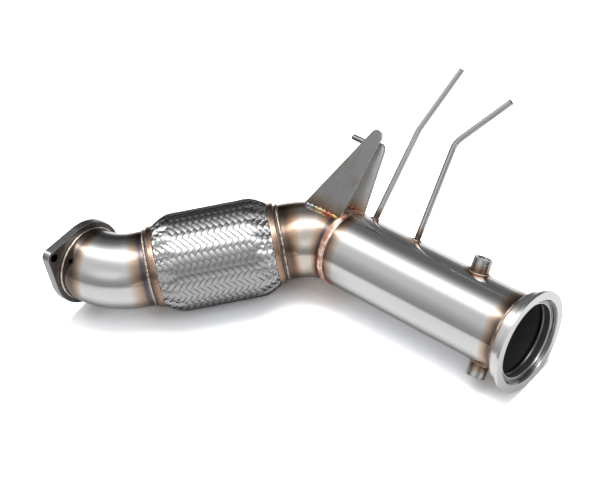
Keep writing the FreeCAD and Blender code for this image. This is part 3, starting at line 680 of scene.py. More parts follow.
def joined_elbow(name, place, elbow, run_start, extra, node_name, finish):
    """An elbow whose far end runs on by a little extra, into what it is welded to."""
    end = elbow_length(elbow) + extra
    outline = [(0, BORE, 0.1), (0, PIPE, 0.1), (end, PIPE, 0.3), (end, BORE, 0.3)]
    piece = turned_piece(name, outline, place, run_start, elbow[:3], **PIPE_DETAIL)
    return settle(piece, "polished_pipe", [node_name], finish, bore_painted_shade_steel)


main_pipe = turned_piece("main_pipe", main_outline, main_frame, **PIPE_DETAIL)
settle(main_pipe, "polished_pipe", ["main_tube"], pipe_steel, bore_painted_shade_steel)
joined_elbow("joining_elbow_pipe", joint_frame, JOINING, MAIN_LENGTH, 0.0, "joining_elbow", heated_steel)
joined_elbow("outlet_elbow_pipe", outlet_frame, OUTLET, OUTLET_RUN, PLATE_THICKNESS - PIPE_SETBACK,
             "outlet_elbow", pipe_steel)

# %% [markdown]
# Weld metal isn't polished. Its colour changes from pool to pool, and it has a
# fine sparkle. Both come from noise over the position: a coarse one picks from
# a few colours, and a fine one drives the roughness and a bump. The bead in the
# middle of the pipe is salmon, those beside the braid are bright at their edges,
# and the one at the outlet flange is cream.

# %% Weld metal
POOL_SCALE = 90.0
POOL_RANGE = (0.30, 0.72)
SPARKLE_SCALE = 700.0
SPARKLE_RELIEF = 0.15


def weld_steel(name, pool_colours, scale=1.0, roughness=(0.14, 0.34)):
    """Weld metal whose colour changes from pool to pool."""
    material, tree, shader = new_finish(name)
    position = node(tree, "ShaderNodeTexCoord").outputs["Object"]
    places = np.linspace(*POOL_RANGE, len(pool_colours))
    colours = ramp(tree, noise(tree, position, POOL_SCALE * scale, 3.0), list(zip(places, pool_colours)))
    sparkle = noise(tree, position, SPARKLE_SCALE, 2.0)
    tree.links.new(colours, shader["Base Color"])
    tree.links.new(mapped(tree, sparkle, 0.0, 1.0, *roughness), shader["Roughness"])
    tree.links.new(bump(tree, sparkle, SPARKLE_RELIEF), shader["Normal"])
    return material


bead_steel = weld_steel("weld metal", [(0.18, 0.14, 0.13), (0.30, 0.21, 0.17), (0.44, 0.31, 0.24),
                                       (0.66, 0.52, 0.40), (0.32, 0.29, 0.33)])
salmon_steel = weld_steel("salmon weld metal", [(0.36, 0.20, 0.15), (0.66, 0.35, 0.24), (0.80, 0.46, 0.33),
                                                (0.98, 0.78, 0.65), (0.64, 0.38, 0.40)], 1.8, (0.24, 0.44))
edge_steel = weld_steel("bright weld edge", [(0.16, 0.13, 0.14), (0.34, 0.27, 0.24), (0.66, 0.58, 0.50),
                                            (0.46, 0.36, 0.30), (0.26, 0.25, 0.34)], 1.6)
cream_steel = weld_steel("cream weld metal", [(0.40, 0.32, 0.27), (0.62, 0.53, 0.45), (0.84, 0.78, 0.70),
                                              (0.66, 0.57, 0.48)], 1.6)
print("weld metals:", [finish.name for finish in (bead_steel, salmon_steel, edge_steel, cream_steel)])

# %% [markdown]
# A TIG weld is a row of small pools, each of which froze while the next one was
# laid. From the side it looks like a stack of coins pushed over. A ring with a
# low dome is displaced by a wave that runs round it, and the wave is bent across
# the bead so that each ripple is a crescent. This could be a bump in the finish,
# but real height also breaks up the outline and its highlights. A slow random
# wobble keeps the bead from looking machined.

# %% Weld beads round the pipe
BEAD_WIDTH = 4.8
BEAD_HEIGHT = 1.3
BEAD_ROWS = 13
BEAD_SUNK = 0.15
BEAD_FOOT = 0.8
RIPPLE = 1.7
RIPPLE_STEPS = 6
RIPPLE_BEND = 0.55
RIPPLE_SHAPE = 0.7
RIPPLE_CREST = 1.08
WOBBLE = 0.25
WOBBLE_KNOTS = 40
WOBBLE_UP = 0.05
WOBBLE_SIDEWAYS = 0.5
bead_random = np.random.default_rng(7)


def bead_wobble(angle):
    """A slow random wander round the bead, which dies out where the ring closes."""
    knots = np.append(bead_random.uniform(-WOBBLE, WOBBLE, WOBBLE_KNOTS), 0.0)
    wobble = np.interp(angle, np.linspace(0, 2 * math.pi, WOBBLE_KNOTS + 1), knots)
    wobble[-RIPPLE_STEPS:] *= np.linspace(1, 0, RIPPLE_STEPS)
    wobble[:RIPPLE_STEPS] *= np.linspace(0, 1, RIPPLE_STEPS)
    return wobble


def weld_ring(name, place, middle, run_start, node_name, width=BEAD_WIDTH, finish=bead_steel, depth=0.26):
    """A rippled bead that lies on the pipe all the way round."""
    ripples = round(2 * math.pi * PIPE / RIPPLE)
    angle = full_turn(ripples * RIPPLE_STEPS)
    across = np.linspace(-1.0, 1.0, BEAD_ROWS)[:, None]
    wobble = bead_wobble(angle)
    saw = (angle * ripples / (2 * math.pi) + RIPPLE_BEND * across ** 2) % 1.0
    dome = np.sqrt(np.clip(1 - across ** 2, 0, 1))
    height = dome * BEAD_HEIGHT * (RIPPLE_CREST - depth + depth * saw ** RIPPLE_SHAPE + WOBBLE_UP * wobble)
    along = middle + across * width / 2 + wobble * WOBBLE_SIDEWAYS * (0.4 + 0.6 * np.abs(across))
    along = np.concatenate([along, along[[-1, 0]]])
    radius = np.concatenate([PIPE + height - BEAD_SUNK, np.full((2, len(angle)), PIPE - BEAD_FOOT)])
    points = to_frame(spun(along, radius, angle), place)
    sheet = unrolled(len(along), len(angle), PIPE)
    piece = grid_mesh(name, points, sheet, run_start + along, sharp_angle=70)
    return settle(piece, "weld_bead", [node_name], finish)


print("a bead has", round(2 * math.pi * PIPE / RIPPLE), "ripples round the pipe")

# %% [markdown]
# There are five such beads on the route. The one in the middle is the widest,
# with the deepest ripples. Those at the flex and at the outlet flange are thin
# lines. They are made in the order of the route, since each one takes the next
# random numbers.

# %% The five beads
MIDDLE_WIDTH = 8.0
MIDDLE_DEPTH = 0.45
FLEX_WIDTH = 3.0
FLANGE_WIDTH = 2.6
weld_ring("vband_bead", main_frame, VBAND_WELD_RUN, 0.0, "weld_vband")
weld_ring("middle_bead", joint_frame, 0.0, MAIN_LENGTH, "weld_main_tube", MIDDLE_WIDTH, salmon_steel,
          MIDDLE_DEPTH)
weld_ring("flex_inlet_bead", flex_frame, 0.0, FLEX_RUN, "weld_flex_inlet", FLEX_WIDTH, edge_steel)
weld_ring("flex_outlet_bead", flex_frame, FLEX_LENGTH, FLEX_RUN, "weld_flex_outlet", FLEX_WIDTH, edge_steel)
weld_ring("flange_bead", plate_frame, -FLANGE_WIDTH / 2, PLATE_RUN, "weld_outlet_flange", FLANGE_WIDTH,
          cream_steel)

# %% [markdown]
# A weld that goes right through the wall leaves a low ridge in the bore, called
# its root. Only the one behind the V-band can be seen, as a thin ring of light in
# the dark of the mouth.

# %% Weld root in the mouth
ROOT_MIDDLE = 13.0
ROOT_HEIGHT = 1.0
ROOT_TOP = 1.4
ROOT_FOOT = 2.6
ROOT_SUNK = 0.1
root_outline = [(ROOT_MIDDLE - ROOT_FOOT, BORE + ROOT_SUNK, 0.1),
                (ROOT_MIDDLE - ROOT_TOP, BORE - ROOT_HEIGHT, 0.6),
                (ROOT_MIDDLE + ROOT_TOP, BORE - ROOT_HEIGHT, 0.6),
                (ROOT_MIDDLE + ROOT_FOOT, BORE + ROOT_SUNK, 0.1)]
root_steel = steel("weld root", (0.20, 0.195, 0.19), 0.30, 0.05, lines=60, length=1500)
root_ring = turned_piece("vband_weld_root", root_outline, main_frame)
settle(root_ring, "weld_bead", ["weld_vband"], root_steel)

# %% [markdown]
# Two collars clamp the ends of the braid to the bellows. Each is a pressed band
# with soft edges, browned by the weld beside it. The tint reaches over the whole
# collar and wanders more than on the pipe.

# %% Collars
COLLAR_NEAR = 3.0
COLLAR_FAR = 9.5
COLLAR_RADIUS = 41.25
COLLAR_TINT_SHIFT = 6.0
COLLAR_RINGS = [(FLEX_RUN - COLLAR_TINT_SHIFT, 18.0, 24.0, 1),
                (OUTLET_RUN + COLLAR_TINT_SHIFT, 24.0, 18.0, 1)]
collar_steel = steel("browned collar", (0.78, 0.72, 0.69), 0.16, 0.05, lines=60, length=1500,
                     rings=COLLAR_RINGS, wander=0.5)


def collar(name, near, far, node_name):
    outline = [(near, PIPE, 0.1), (near, COLLAR_RADIUS, 1.1), (far, COLLAR_RADIUS, 0.7), (far, PIPE, 0.1)]
    piece = turned_piece(name, outline, flex_frame, FLEX_RUN)
    return settle(piece, "collar", [node_name], collar_steel)


collar("inlet_collar", COLLAR_NEAR, COLLAR_FAR, "flex_collar_inlet")
collar("outlet_collar", FLEX_LENGTH - COLLAR_FAR, FLEX_LENGTH - COLLAR_NEAR, "flex_collar_outlet")

# %% [markdown]
# The braid is a sleeve that swells from the collars to its full radius. A flex
# is handled and bent before it is fitted, so near its ends the sleeve has soft
# dents. They are random, but a fixed seed gives the same ones each time.

# %% Surface of the braid
BRAID_START = 9.3
BRAID_LENGTH = FLEX_LENGTH - 2 * BRAID_START
BRAID_FULL = 49.35
BRAID_END = 40.9
BRAID_TAPER = 21.0
BRAID_SWELL = 1.15
DENTS = 26
DENT_ZONE = (8.0, 18.0)
DENT_LENGTH = 5.0
DENT_ARC = 0.13
INLET_DENTS = 0.6
DENT_SPREAD = 97.0
braid_random = np.random.default_rng(3)
dent_places = braid_random.uniform(0, 1, (DENTS, 2))
dent_depths = braid_random.uniform(-0.55, 0.35, DENTS)


def braid_radius(along, angle):
    """Radius of the braid's middle surface, with a few soft dents near its ends."""
    share = np.clip(np.minimum(along, BRAID_LENGTH - along) / BRAID_TAPER, 0, 1)
    radius = BRAID_END + (BRAID_FULL - BRAID_END) * np.sin(share * math.pi / 2) ** BRAID_SWELL
    for (where, turn), depth in zip(dent_places, dent_depths):
        from_end = DENT_ZONE[0] + where * DENT_ZONE[1]
        place = from_end if turn < INLET_DENTS else BRAID_LENGTH - from_end
        arc = (angle - turn * DENT_SPREAD + math.pi) % (2 * math.pi) - math.pi
        radius = radius + depth * np.exp(-((along - place) / DENT_LENGTH) ** 2 - (arc / DENT_ARC) ** 2)
    return radius


print("the braid swells from", BRAID_END, "to", round(float(braid_radius(BRAID_LENGTH / 2, 0.0)), 2), "mm")

# %% [markdown]
# The bright wire is drawn, so its highlight is stretched across the wires: that
# is the anisotropic part of the shader, and it needs a tangent from the unrolled
# sheet. Where a band dives under the next one its edge is in shade. On the sheet
# each band has a strip of its own, so the distance from the strip's middle tells
# where the edge is, and the colour is darkened there.

# %% Braid wire
BAND_STRIP = 10.0
EDGE_SHADE_FROM = 1.8
EDGE_SHADE_TO = 2.45
EDGE_SHADE = 0.36
wire_steel = steel("braid wire", (0.48, 0.48, 0.485), 0.25, 0.04, lines=3000, length=60)


def shade_band_edges(material):
    """Darkens the colour of a band towards its two edges."""
    tree = material.node_tree
    sheet = node(tree, "ShaderNodeUVMap", uv_map=UNROLLED).outputs["UV"]
    half_strip = BAND_STRIP / 2 * MILLIMETRE
    from_middle = maths(tree, "WRAP", parts_of(tree, sheet)["X"], half_strip, -half_strip)
    shade = mapped(tree, maths(tree, "ABSOLUTE", from_middle), EDGE_SHADE_FROM * MILLIMETRE,
                   EDGE_SHADE_TO * MILLIMETRE, 1.0, EDGE_SHADE)
    base = shader_of(material).inputs["Base Color"]
    tree.links.new(scaled(tree, base.links[0].from_socket, shade), base)


def stretch_highlight(material):
    """Stretches the highlight across the wires, and darkens them at low angles: painted shade."""
    tree = material.node_tree
    over_wires = node(tree, "ShaderNodeTangent", direction_type="UV_MAP", uv_map=UNROLLED)
    tree.links.new(over_wires.outputs["Tangent"], shader_of(material).inputs["Tangent"])
    # The dark specular tint is painted shade on the wires where they are seen at a low angle.
    set_shader(material, Anisotropic=0.5, Specular_Tint=(0.35, 0.35, 0.35, 1.0))


shade_band_edges(wire_steel)
stretch_highlight(wire_steel)
print(wire_steel.name, "has", len(wire_steel.node_tree.nodes), "nodes")

# %% [markdown]
# The braid is woven from flat bands of wire that wind round the flex both ways.
# Each band goes over two others and then under two, so the visible stretches
# make a herringbone. A bump pattern would look flat at the outline. Here every
# band is a mesh: it follows its helix, rises and dips where it crosses, and its
# cross-section is a row of round wires.

# %% One woven band
BANDS = 36
CROSSINGS = 37
WIRES = 6
STEPS_PER_CROSSING = 3
STEPS_PER_WIRE = 3
BAND_WIDTH = 4.75
BAND_DEPTH = 0.25
NARROWEST = 0.86
LIFT = 0.42
LIFT_SHARPNESS = 1.4
CROWN = 0.12
WIRE_RELIEF = 0.06


def wire_section():
    """Places across a band and its height there: round wires on a low crown."""
    slots = np.linspace(-1, 1, WIRES * STEPS_PER_WIRE + 1)
    wires = np.abs(np.sin((slots + 1) / 2 * WIRES * math.pi)) * WIRE_RELIEF + (1 - slots ** 2) * CROWN
    across = np.append(slots, [1.0, -1.0]) * BAND_WIDTH / 2
    return across, np.append(wires, [-BAND_DEPTH, -BAND_DEPTH])


def band_ribbon(band, lean, stage, across, height):
    """Points of one band, how far across each is, and how far along each row is."""
    angle = 2 * math.pi * band / BANDS + lean * stage * math.pi / BANDS
    along = stage / CROSSINGS * BRAID_LENGTH
    wave = np.cos(2 * math.pi * (2 * band + lean * stage - 0.5) / 4)
    lift = np.tanh(LIFT_SHARPNESS * wave) / math.tanh(LIFT_SHARPNESS) * LIFT * lean
    radius = braid_radius(along, angle) + lift
    spin, drift = np.gradient(angle) * radius, np.gradient(along)
    length = np.hypot(spin, drift)
    offset = across[None, :] * np.clip(radius / BRAID_FULL, NARROWEST, 1.0)[:, None]
    full_angle = angle[:, None] - offset * (drift / length / radius)[:, None]
    full_along = np.clip(along[:, None] + offset * (spin / length)[:, None], 0.0, BRAID_LENGTH)
    points = spun(full_along + BRAID_START, radius[:, None] + height[None, :], full_angle)
    return points, offset, np.cumsum(length)


print("a band is", BAND_WIDTH, "mm wide and has", len(wire_section()[0]), "points across")

# %% [markdown]
# The bands that lean one way are one mesh, and those that lean the other way are
# a second. A face corner's place on the sheet is how far across its own strip it
# is and how far along the band. The grid isn't closed at its ends, which are
# hidden under the collars.

# %% All the bands
def braid_bands(name, lean):
    """All the bands that lean one way, as one mesh of closed ribbons of wire."""
    stage = np.linspace(0, CROSSINGS, CROSSINGS * STEPS_PER_CROSSING + 1)
    across, height = wire_section()
    rows, columns = len(stage), len(across)
    r, c = [part.ravel() for part in np.meshgrid(np.arange(rows - 1), np.arange(columns), indexing="ij")]
    following = (c + 1) % columns
    corners = [(r, c), (r, following), (r + 1, following), (r + 1, c)][::-lean]
    vertices, faces, sheets = [], [], []
    for band in range(BANDS):
        points, offset, travel = band_ribbon(band, lean, stage, across, height)
        vertices.append(to_frame(points, flex_frame).reshape(-1, 3))
        faces.append(np.stack([i * columns + j for i, j in corners], axis=1) + band * rows * columns)
        sheets.append(np.stack([np.stack([band * BAND_STRIP + offset[i, j], travel[i]], axis=1)
                                for i, j in corners], axis=1))
    piece = new_piece(name, np.concatenate(vertices), np.concatenate(faces).tolist(), np.concatenate(sheets))
    piece.data.set_sharp_from_angle(angle=math.radians(60))
    return settle(piece, "braid", ["flex_braid"], wire_steel)


braid_bands("braid_bands_right", 1)
braid_bands("braid_bands_left", -1)

# %% [markdown]
# Through the gaps between the bands the eye should meet metal in shadow, as it
# does on the real flex, where the bellows lies behind. A thin dark sleeve just
# under the bands does that. Its outline is smooth already, so it isn't rounded.

# %% Sleeve under the braid
SLEEVE_STATIONS = 48
SLEEVE_SEGMENTS = 120
SLEEVE_UNDER = 0.95
SLEEVE_WALL = 0.5
sleeve_steel = steel("shaded sleeve", (0.10, 0.10, 0.10), 0.5, 0.05)
stations = np.linspace(0, BRAID_LENGTH, SLEEVE_STATIONS)
sleeve_outer = braid_radius(stations, 0.0) - SLEEVE_UNDER
sleeve_along = BRAID_START + np.concatenate([stations, stations[::-1]])[:, None]
sleeve_radius = np.concatenate([sleeve_outer, sleeve_outer[::-1] - SLEEVE_WALL])[:, None]
sleeve_points = spun(sleeve_along, sleeve_radius, full_turn(SLEEVE_SEGMENTS))
sleeve = grid_mesh("braid_sleeve", to_frame(sleeve_points, flex_frame),
                   unrolled(len(sleeve_along), SLEEVE_SEGMENTS, PIPE),
                   FLEX_RUN + np.repeat(sleeve_along, SLEEVE_SEGMENTS, axis=1), sharp_angle=50)
settle(sleeve, "braid", ["flex_braid"], sleeve_steel)

# %% [markdown]
# A sensor bung is a short threaded boss. The thread shows in its mouth, so the
# wall of its bore is pushed in and out along a helix. A screw modifier could cut
# a thread too, but it would need a boolean to open the boss.

# %% Sensor bungs
BUNG_BORE = 6.2
BUNG_TOP = PIPE + 13.5
BUNG_LOW = BORE - 2.0
BUNG_EDGE = 0.4
BUNG_CHAMFER = 0.8
BUNG_SEGMENTS = 96
THREAD_PITCH = 1.25
THREAD_DEPTH = 0.55
THREAD_STEP = 0.16
BUNG_BROWN_INSET = 2.6
BUNG_BROWN_REACH = 6.4
bung_spots = [(foot, BUNG_RADIUS - BUNG_BROWN_INSET, BUNG_BROWN_REACH) for foot in bung_feet]
bung_steel = steel("turned bung", (0.56, 0.56, 0.55), 0.22, 0.04, **LATHE_LINES, spots=bung_spots)


def bung(name, place, node_name):
    """A boss whose bore is threaded."""
    corners = [(BUNG_LOW, BUNG_BORE, 0.2), (BUNG_LOW, BUNG_RADIUS, 0.3),
               (BUNG_TOP - BUNG_EDGE, BUNG_RADIUS, 0.2), (BUNG_TOP, BUNG_RADIUS - BUNG_EDGE, 0.2),
               (BUNG_TOP, BUNG_BORE + BUNG_CHAMFER, 0.2), (BUNG_TOP - BUNG_CHAMFER, BUNG_BORE, 0.1)]
    outline, facing = rounded(corners, THREAD_STEP)
    angle = full_turn(BUNG_SEGMENTS)
    along = np.repeat(outline[:, :1], BUNG_SEGMENTS, axis=1)
    turns = along / THREAD_PITCH + angle / (2 * math.pi)
    tooth = np.abs((turns % 1.0) * 2 - 1) - 0.5
    in_bore = facing[:, 1:] < -0.95
    radius = outline[:, 1:] + np.where(in_bore, tooth * THREAD_DEPTH, 0.0)
    piece = grid_mesh(name, to_frame(spun(along, radius, angle), on_pipe(*place)),
                      unrolled(len(outline), BUNG_SEGMENTS, BUNG_RADIUS), along, sharp_angle=40)
    return settle(piece, "turned_bung", [node_name], bung_steel)


bung("upper_bung", UPPER_BUNG, "upper_sensor_bung")
bung("lower_bung", LOWER_BUNG, "lower_sensor_bung")

# %% [markdown]
# The foot of a bung or of a thin tube is joined by a small rippled fillet. It
# follows the saddle where a round boss meets a round pipe: on the pipe the
# surface falls away to the sides, which are the frame's z, so each point of the
# ring is set at the pipe's height there.

# %% Saddle beads
BUNG_BEAD = 1.5
TUBE_BEAD = 1.6
SADDLE_RIPPLE = 1.5
SADDLE_SIDES = 16
SADDLE_BEND = 0.3
SADDLE_OUT = 0.15
SADDLE_UP = 0.1
SADDLE_FLATNESS = 0.8
SADDLE_THIN = 0.85
SADDLE_WAVE = 0.2


def saddle_bead(name, place, radius, size, node_name):
    """A rippled fillet round a boss or a tube, where it leaves the pipe."""
    ripples = max(12, round(2 * math.pi * radius / SADDLE_RIPPLE))
    angle = full_turn(ripples * RIPPLE_STEPS)
    section = full_turn(SADDLE_SIDES)[:, None]
    saw = (angle * ripples / (2 * math.pi) + SADDLE_BEND * np.cos(section) ** 2) % 1.0
    thick = size * (SADDLE_THIN + SADDLE_WAVE * saw ** RIPPLE_SHAPE)
    ring = radius + SADDLE_OUT * size
    middle = np.sqrt(np.maximum(PIPE ** 2 - (ring * np.sin(angle)) ** 2, 0.0)) + SADDLE_UP * size
    along = middle + thick * SADDLE_FLATNESS * np.sin(section)
    points = to_frame(spun(along, ring + thick * np.cos(section), angle), on_pipe(*place))
    sheet = unrolled(SADDLE_SIDES, len(angle), radius)
    piece = grid_mesh(name, points, sheet, along, sharp_angle=70)
    return settle(piece, "weld_bead", [node_name], bead_steel)


saddle_bead("upper_bung_bead", UPPER_BUNG, BUNG_RADIUS, BUNG_BEAD, "weld_upper_sensor_bung")
saddle_bead("lower_bung_bead", LOWER_BUNG, BUNG_RADIUS, BUNG_BEAD, "weld_lower_sensor_bung")

# %% [markdown]
# The two pressure tubes are thin drawn tubes, bent once, with open ends. They
# are the same kind of piece as an elbow, only longer and thinner. A thin tube
# shows dark lines along its sides, and a dark specular tint paints those as a
# painted dark reflection, because it darkens steel only where the eye meets it
# at a low angle. A tube's shape is its rise above the pipe, its turn in degrees
# and its length past the corner that it would have if it were bent sharply. The
# rise is measured to that corner too.

# %% Pressure tubes
TUBE_BORE = 2.0
TUBE_BEND = 22.0
REAR_SHAPE = (97.0, 11.5, 72.0)
FRONT_SHAPE = (100.0, 36.0, 67.0)
TUBE_START = BORE - 1.0
TUBE_BROWN_REACH = 12.0
ROD_LINES = {"lines": 700.0, "length": 40.0}
tube_steel = steel("drawn tube", (0.58, 0.58, 0.58), 0.10, 0.03, **ROD_LINES,
                   spots=[(foot, TUBE_RADIUS, TUBE_BROWN_REACH) for foot in tube_feet])
# The dark specular tint is a painted dark reflection along the tube's sides.
set_shader(tube_steel, Specular_Tint=(0.08, 0.08, 0.08, 1.0))


def pressure_tube(name, place, shape, node_name):
    """A thin tube that rises from the pipe, bends once and runs on to its end."""
    rise, turn, end = shape
    inset = TUBE_BEND * math.tan(math.radians(turn) / 2)
    first = PIPE + rise - inset - TUBE_START
    length = first + TUBE_BEND * math.radians(turn) + end - inset
    outline = [(0, TUBE_BORE, 0.1), (0, TUBE_RADIUS, 0.1),
               (length, TUBE_RADIUS, 0.3), (length, TUBE_BORE, 0.2)]
    start = on_pipe(*place) @ moved(TUBE_START)
    piece = turned_piece(name, outline, start, 0.0, (first, TUBE_BEND, turn), 40, 1.5, bored=True)
    return settle(piece, "thin_tube", [node_name], tube_steel, bore_painted_shade_steel)


pressure_tube("rear_tube", REAR_TUBE, REAR_SHAPE, "rear_pressure_tube")
pressure_tube("front_tube", FRONT_TUBE, FRONT_SHAPE, "front_pressure_tube")
saddle_bead("rear_tube_bead", REAR_TUBE, TUBE_RADIUS, TUBE_BEAD, "weld_rear_pressure_tube")
saddle_bead("front_tube_bead", FRONT_TUBE, TUBE_RADIUS, TUBE_BEAD, "weld_front_pressure_tube")

# %% [markdown]
# The flange plate and the bracket are cut from sheet. A slab is two flat faces
# and a rounded edge that follows the outline, with the same edge round each
# hole. In the slab's frame x is the thickness, and y and z are the sheet.

# %% Arcs and rounded edges
EDGE_STEPS = 4


def arc_points(centre, radius, start, end, count):
    """Points and outward normals of an arc, by its angles in degrees."""
    angle = np.radians(np.linspace(start, end, count))
    out = np.stack([np.cos(angle), np.sin(angle)], axis=1)
    return np.array(centre) + out * radius, out


def edge_profile(thickness, edge):
    """Rows of (inset, height, outward and upward share of the normal) over a rounded edge."""
    turn = np.linspace(0, math.pi / 2, EDGE_STEPS + 1)
    out, up = np.sin(turn), -np.cos(turn)
    lower = np.stack([edge * (1 - out), edge * (1 + up), out, up], axis=1)
    upper = lower[::-1] * (1, -1, 1, -1) + (0, thickness, 0, 0)
    return np.concatenate([lower, upper])


print("a rounded edge on a 9 mm plate has", len(edge_profile(9.0, 0.9)), "rows of points")

# %% [markdown]
# Filling a flat face with holes is the hard part. Blender's polygon tessellator
# takes the outline and the holes as separate loops and gives back triangles.
# Each one is turned over if it faces into the plate. The faces of the edge come
# first, so they can get a second finish, as cut edges do.

# %% Slabs
def filled(flat, loops, facing):
    """Triangles over a flat face with its holes left open, facing along x or against it."""
    order = [index for loop in loops for index in loop]
    shapes = [[Vector((*flat[index][1:], 0.0)) for index in loop] for loop in loops]
    triangles = []
    for corner in tessellate_polygon(shapes):
        picked = [order[index] for index in corner]
        a, b, c = flat[picked]
        forwards = np.cross(b - a, c - a)[0] * facing > 0
        triangles.append(picked if forwards else picked[::-1])
    return triangles


def slab(name, loops, thickness, edge, place):
    """A plate from loops of (points, outward normals); the first is its outline."""
    profile = edge_profile(thickness, edge)
    vertices, normals, faces, bottom_loops, top_loops = [], [], [], [], []
    count = 0
    for points, out in loops:
        size = len(points)
        for inset, height, outward, upward in profile:
            vertices.append(np.column_stack([np.full(size, height), points - out * inset]))
            normals.append(np.column_stack([np.full(size, upward), out * outward]))
        for first in range(count, count + (len(profile) - 1) * size, size):
            for index in range(size):
                following = (index + 1) % size
                faces.append([first + index, first + following,
                              first + size + following, first + size + index])
        bottom_loops.append(range(count, count + size))
        count += len(profile) * size
        top_loops.append(range(count - size, count))
    flat = np.concatenate(vertices)
    edge_faces = len(faces)
    faces += filled(flat, bottom_loops, -1) + filled(flat, top_loops, 1)
    sheet = flat[[index for face in faces for index in face], 1:]
    piece = new_piece(name, to_frame(flat, place), faces, sheet)
    piece.data.polygons.foreach_set("material_index", (np.arange(len(faces)) < edge_faces).astype(np.int32))
    placed_normals = to_frame(np.concatenate(normals), place, False)
    piece.data.normals_split_custom_set_from_vertices(placed_normals.tolist())
    return piece


square = np.array([(0, 0, 0), (0, 1, 0), (0, 1, 1), (0, 0, 1)], float)
print("a square is filled by", len(filled(square, [range(4)], 1)), "triangles")

# %% [markdown]
# The outlet flange is a thick plate with an ear at each end of its line of
# bolts. The outline is four arcs joined by the straight lines that touch them.
# Cutting leaves its edge brighter and finer than its faces, so the edge has a
# finish of its own. Its lighter colour is also painted light on the walls of the
# bolt holes, which lie in shade.

# %% Outlet flange
EAR_SPACING = 102.0
EAR_RADIUS = 8.0
PLATE_ROUND = 44.0
PLATE_EDGE = 0.9
BOLT_HOLE = 3.5
EAR_LIFT = 45.0
PLATE_BROWN = (36.6, 4.0)
touch = math.degrees(math.acos((PLATE_ROUND - EAR_RADIUS) / (EAR_SPACING / 2)))
arcs = []
for side, turn in ((1, 0), (-1, 180)):
    arcs.append(arc_points((side * EAR_SPACING / 2, 0), EAR_RADIUS, turn - touch, turn + touch, 25))
    arcs.append(arc_points((0, 0), PLATE_ROUND, turn + touch, turn + 180 - touch, 41))
plate_outline = [np.concatenate(part) for part in zip(*arcs)]


def hole_loop(across, radius, count):
    points, out = arc_points((across, 0), radius, 0, 360 * (1 - 1 / count), count)
    return points, -out


plate_holes = [hole_loop(0, PIPE, 120), hole_loop(EAR_SPACING / 2, BOLT_HOLE, 36),
               hole_loop(-EAR_SPACING / 2, BOLT_HOLE, 36)]
plate_steel = steel("cut plate", (0.25, 0.252, 0.256), 0.3, 0.05, lines=300, length=40, relief=0.04,
                    spots=[(plate_frame.translation.copy(), *PLATE_BROWN)])
# The edge's lighter colour is partly the cut and partly painted light on the walls of the bolt holes.
plate_edge_and_painted_light_steel = steel("cut plate edge and painted light", (0.40, 0.40, 0.40), 0.27, 0.04, lines=260, length=260)
flange_plate = slab("flange_plate", [plate_outline] + plate_holes, PLATE_THICKNESS, PLATE_EDGE,
                    plate_frame @ turned("X", EAR_LIFT))
settle(flange_plate, "cut_plate", ["outlet_flange_plate"], plate_steel, plate_edge_and_painted_light_steel)

# %% [markdown]
# The bracket's sheet is satin: brushed along one way, and browned just above the
# weld at its foot. The brushing is noise stretched by a mapping node, and the
# tint takes its distance from the pipe's axis. Both plates are the same sheet, but
# the rear plate faces the light, so it is painted paler and less metallic, which
# is painted light, and the front plate is painted dark, which is painted shade.

# %% Bracket finishes
BROWN_HEIGHT = 11.0
BROWN_AT_FOOT = 0.5
BRUSHING = (1400.0, 60.0, 60.0)
BRUSHED_ROUGHNESS = 0.08
BRUSHED_RELIEF = 0.08


def bracket_finish(name, dark, light, roughness):
    """Satin sheet, browned just above the pipe."""
    material, tree, shader = new_finish(name)
    position = node(tree, "ShaderNodeTexCoord").outputs["Object"]
    parts = parts_of(tree, position)
    from_axis = node(tree, "ShaderNodeCombineXYZ", {"Y": parts["Y"], "Z": parts["Z"]}).outputs[0]
    above = maths(tree, "SUBTRACT", vector_maths(tree, "LENGTH", from_axis)["Value"], PIPE * MILLIMETRE)
    distance = mapped(tree, above, 0.0, BROWN_HEIGHT * MILLIMETRE, BROWN_AT_FOOT, 1.0)
    stretched = node(tree, "ShaderNodeMapping", {"Vector": position, "Scale": BRUSHING}).outputs[0]
    lines = noise(tree, stretched, 1.0, 3.0)
    shade = ramp(tree, lines, [(0.25, dark), (0.75, light)])
    rough = mapped(tree, lines, 0.0, 1.0, roughness - BRUSHED_ROUGHNESS, roughness + BRUSHED_ROUGHNESS)
    tree.links.new(heat_tinted(tree, shade, distance, position, 0.5), shader["Base Color"])
    tree.links.new(rough, shader["Roughness"])
    tree.links.new(bump(tree, lines, BRUSHED_RELIEF), shader["Normal"])
    return material


# The front plate's dark colours are painted shade; the rear plate's pale colours and low metallic value are
# painted light.
front_sheet_painted_shade_steel = bracket_finish("front bracket sheet in painted shade", 0.195, 0.245, 0.34)
rear_sheet_painted_light_steel = bracket_finish("rear bracket sheet in painted light", 0.84, 0.94, 0.42)
set_shader(rear_sheet_painted_light_steel, Metallic=0.3)
sheet_edge_steel = steel("cut sheet edge", (0.38, 0.38, 0.38), 0.25, 0.06, lines=600, length=600)
print("bracket finishes:", front_sheet_painted_shade_steel.name, "and", rear_sheet_painted_light_steel.name)

# %% [markdown]
# The hanger bracket is two tapered plates that stand on the pipe and lean
# against a round peg. Each has a wide foot and a round tip, and one straight side
# that rises from the foot at a right angle. A plate is (foot, height of the
# tip's middle, radius of the tip).

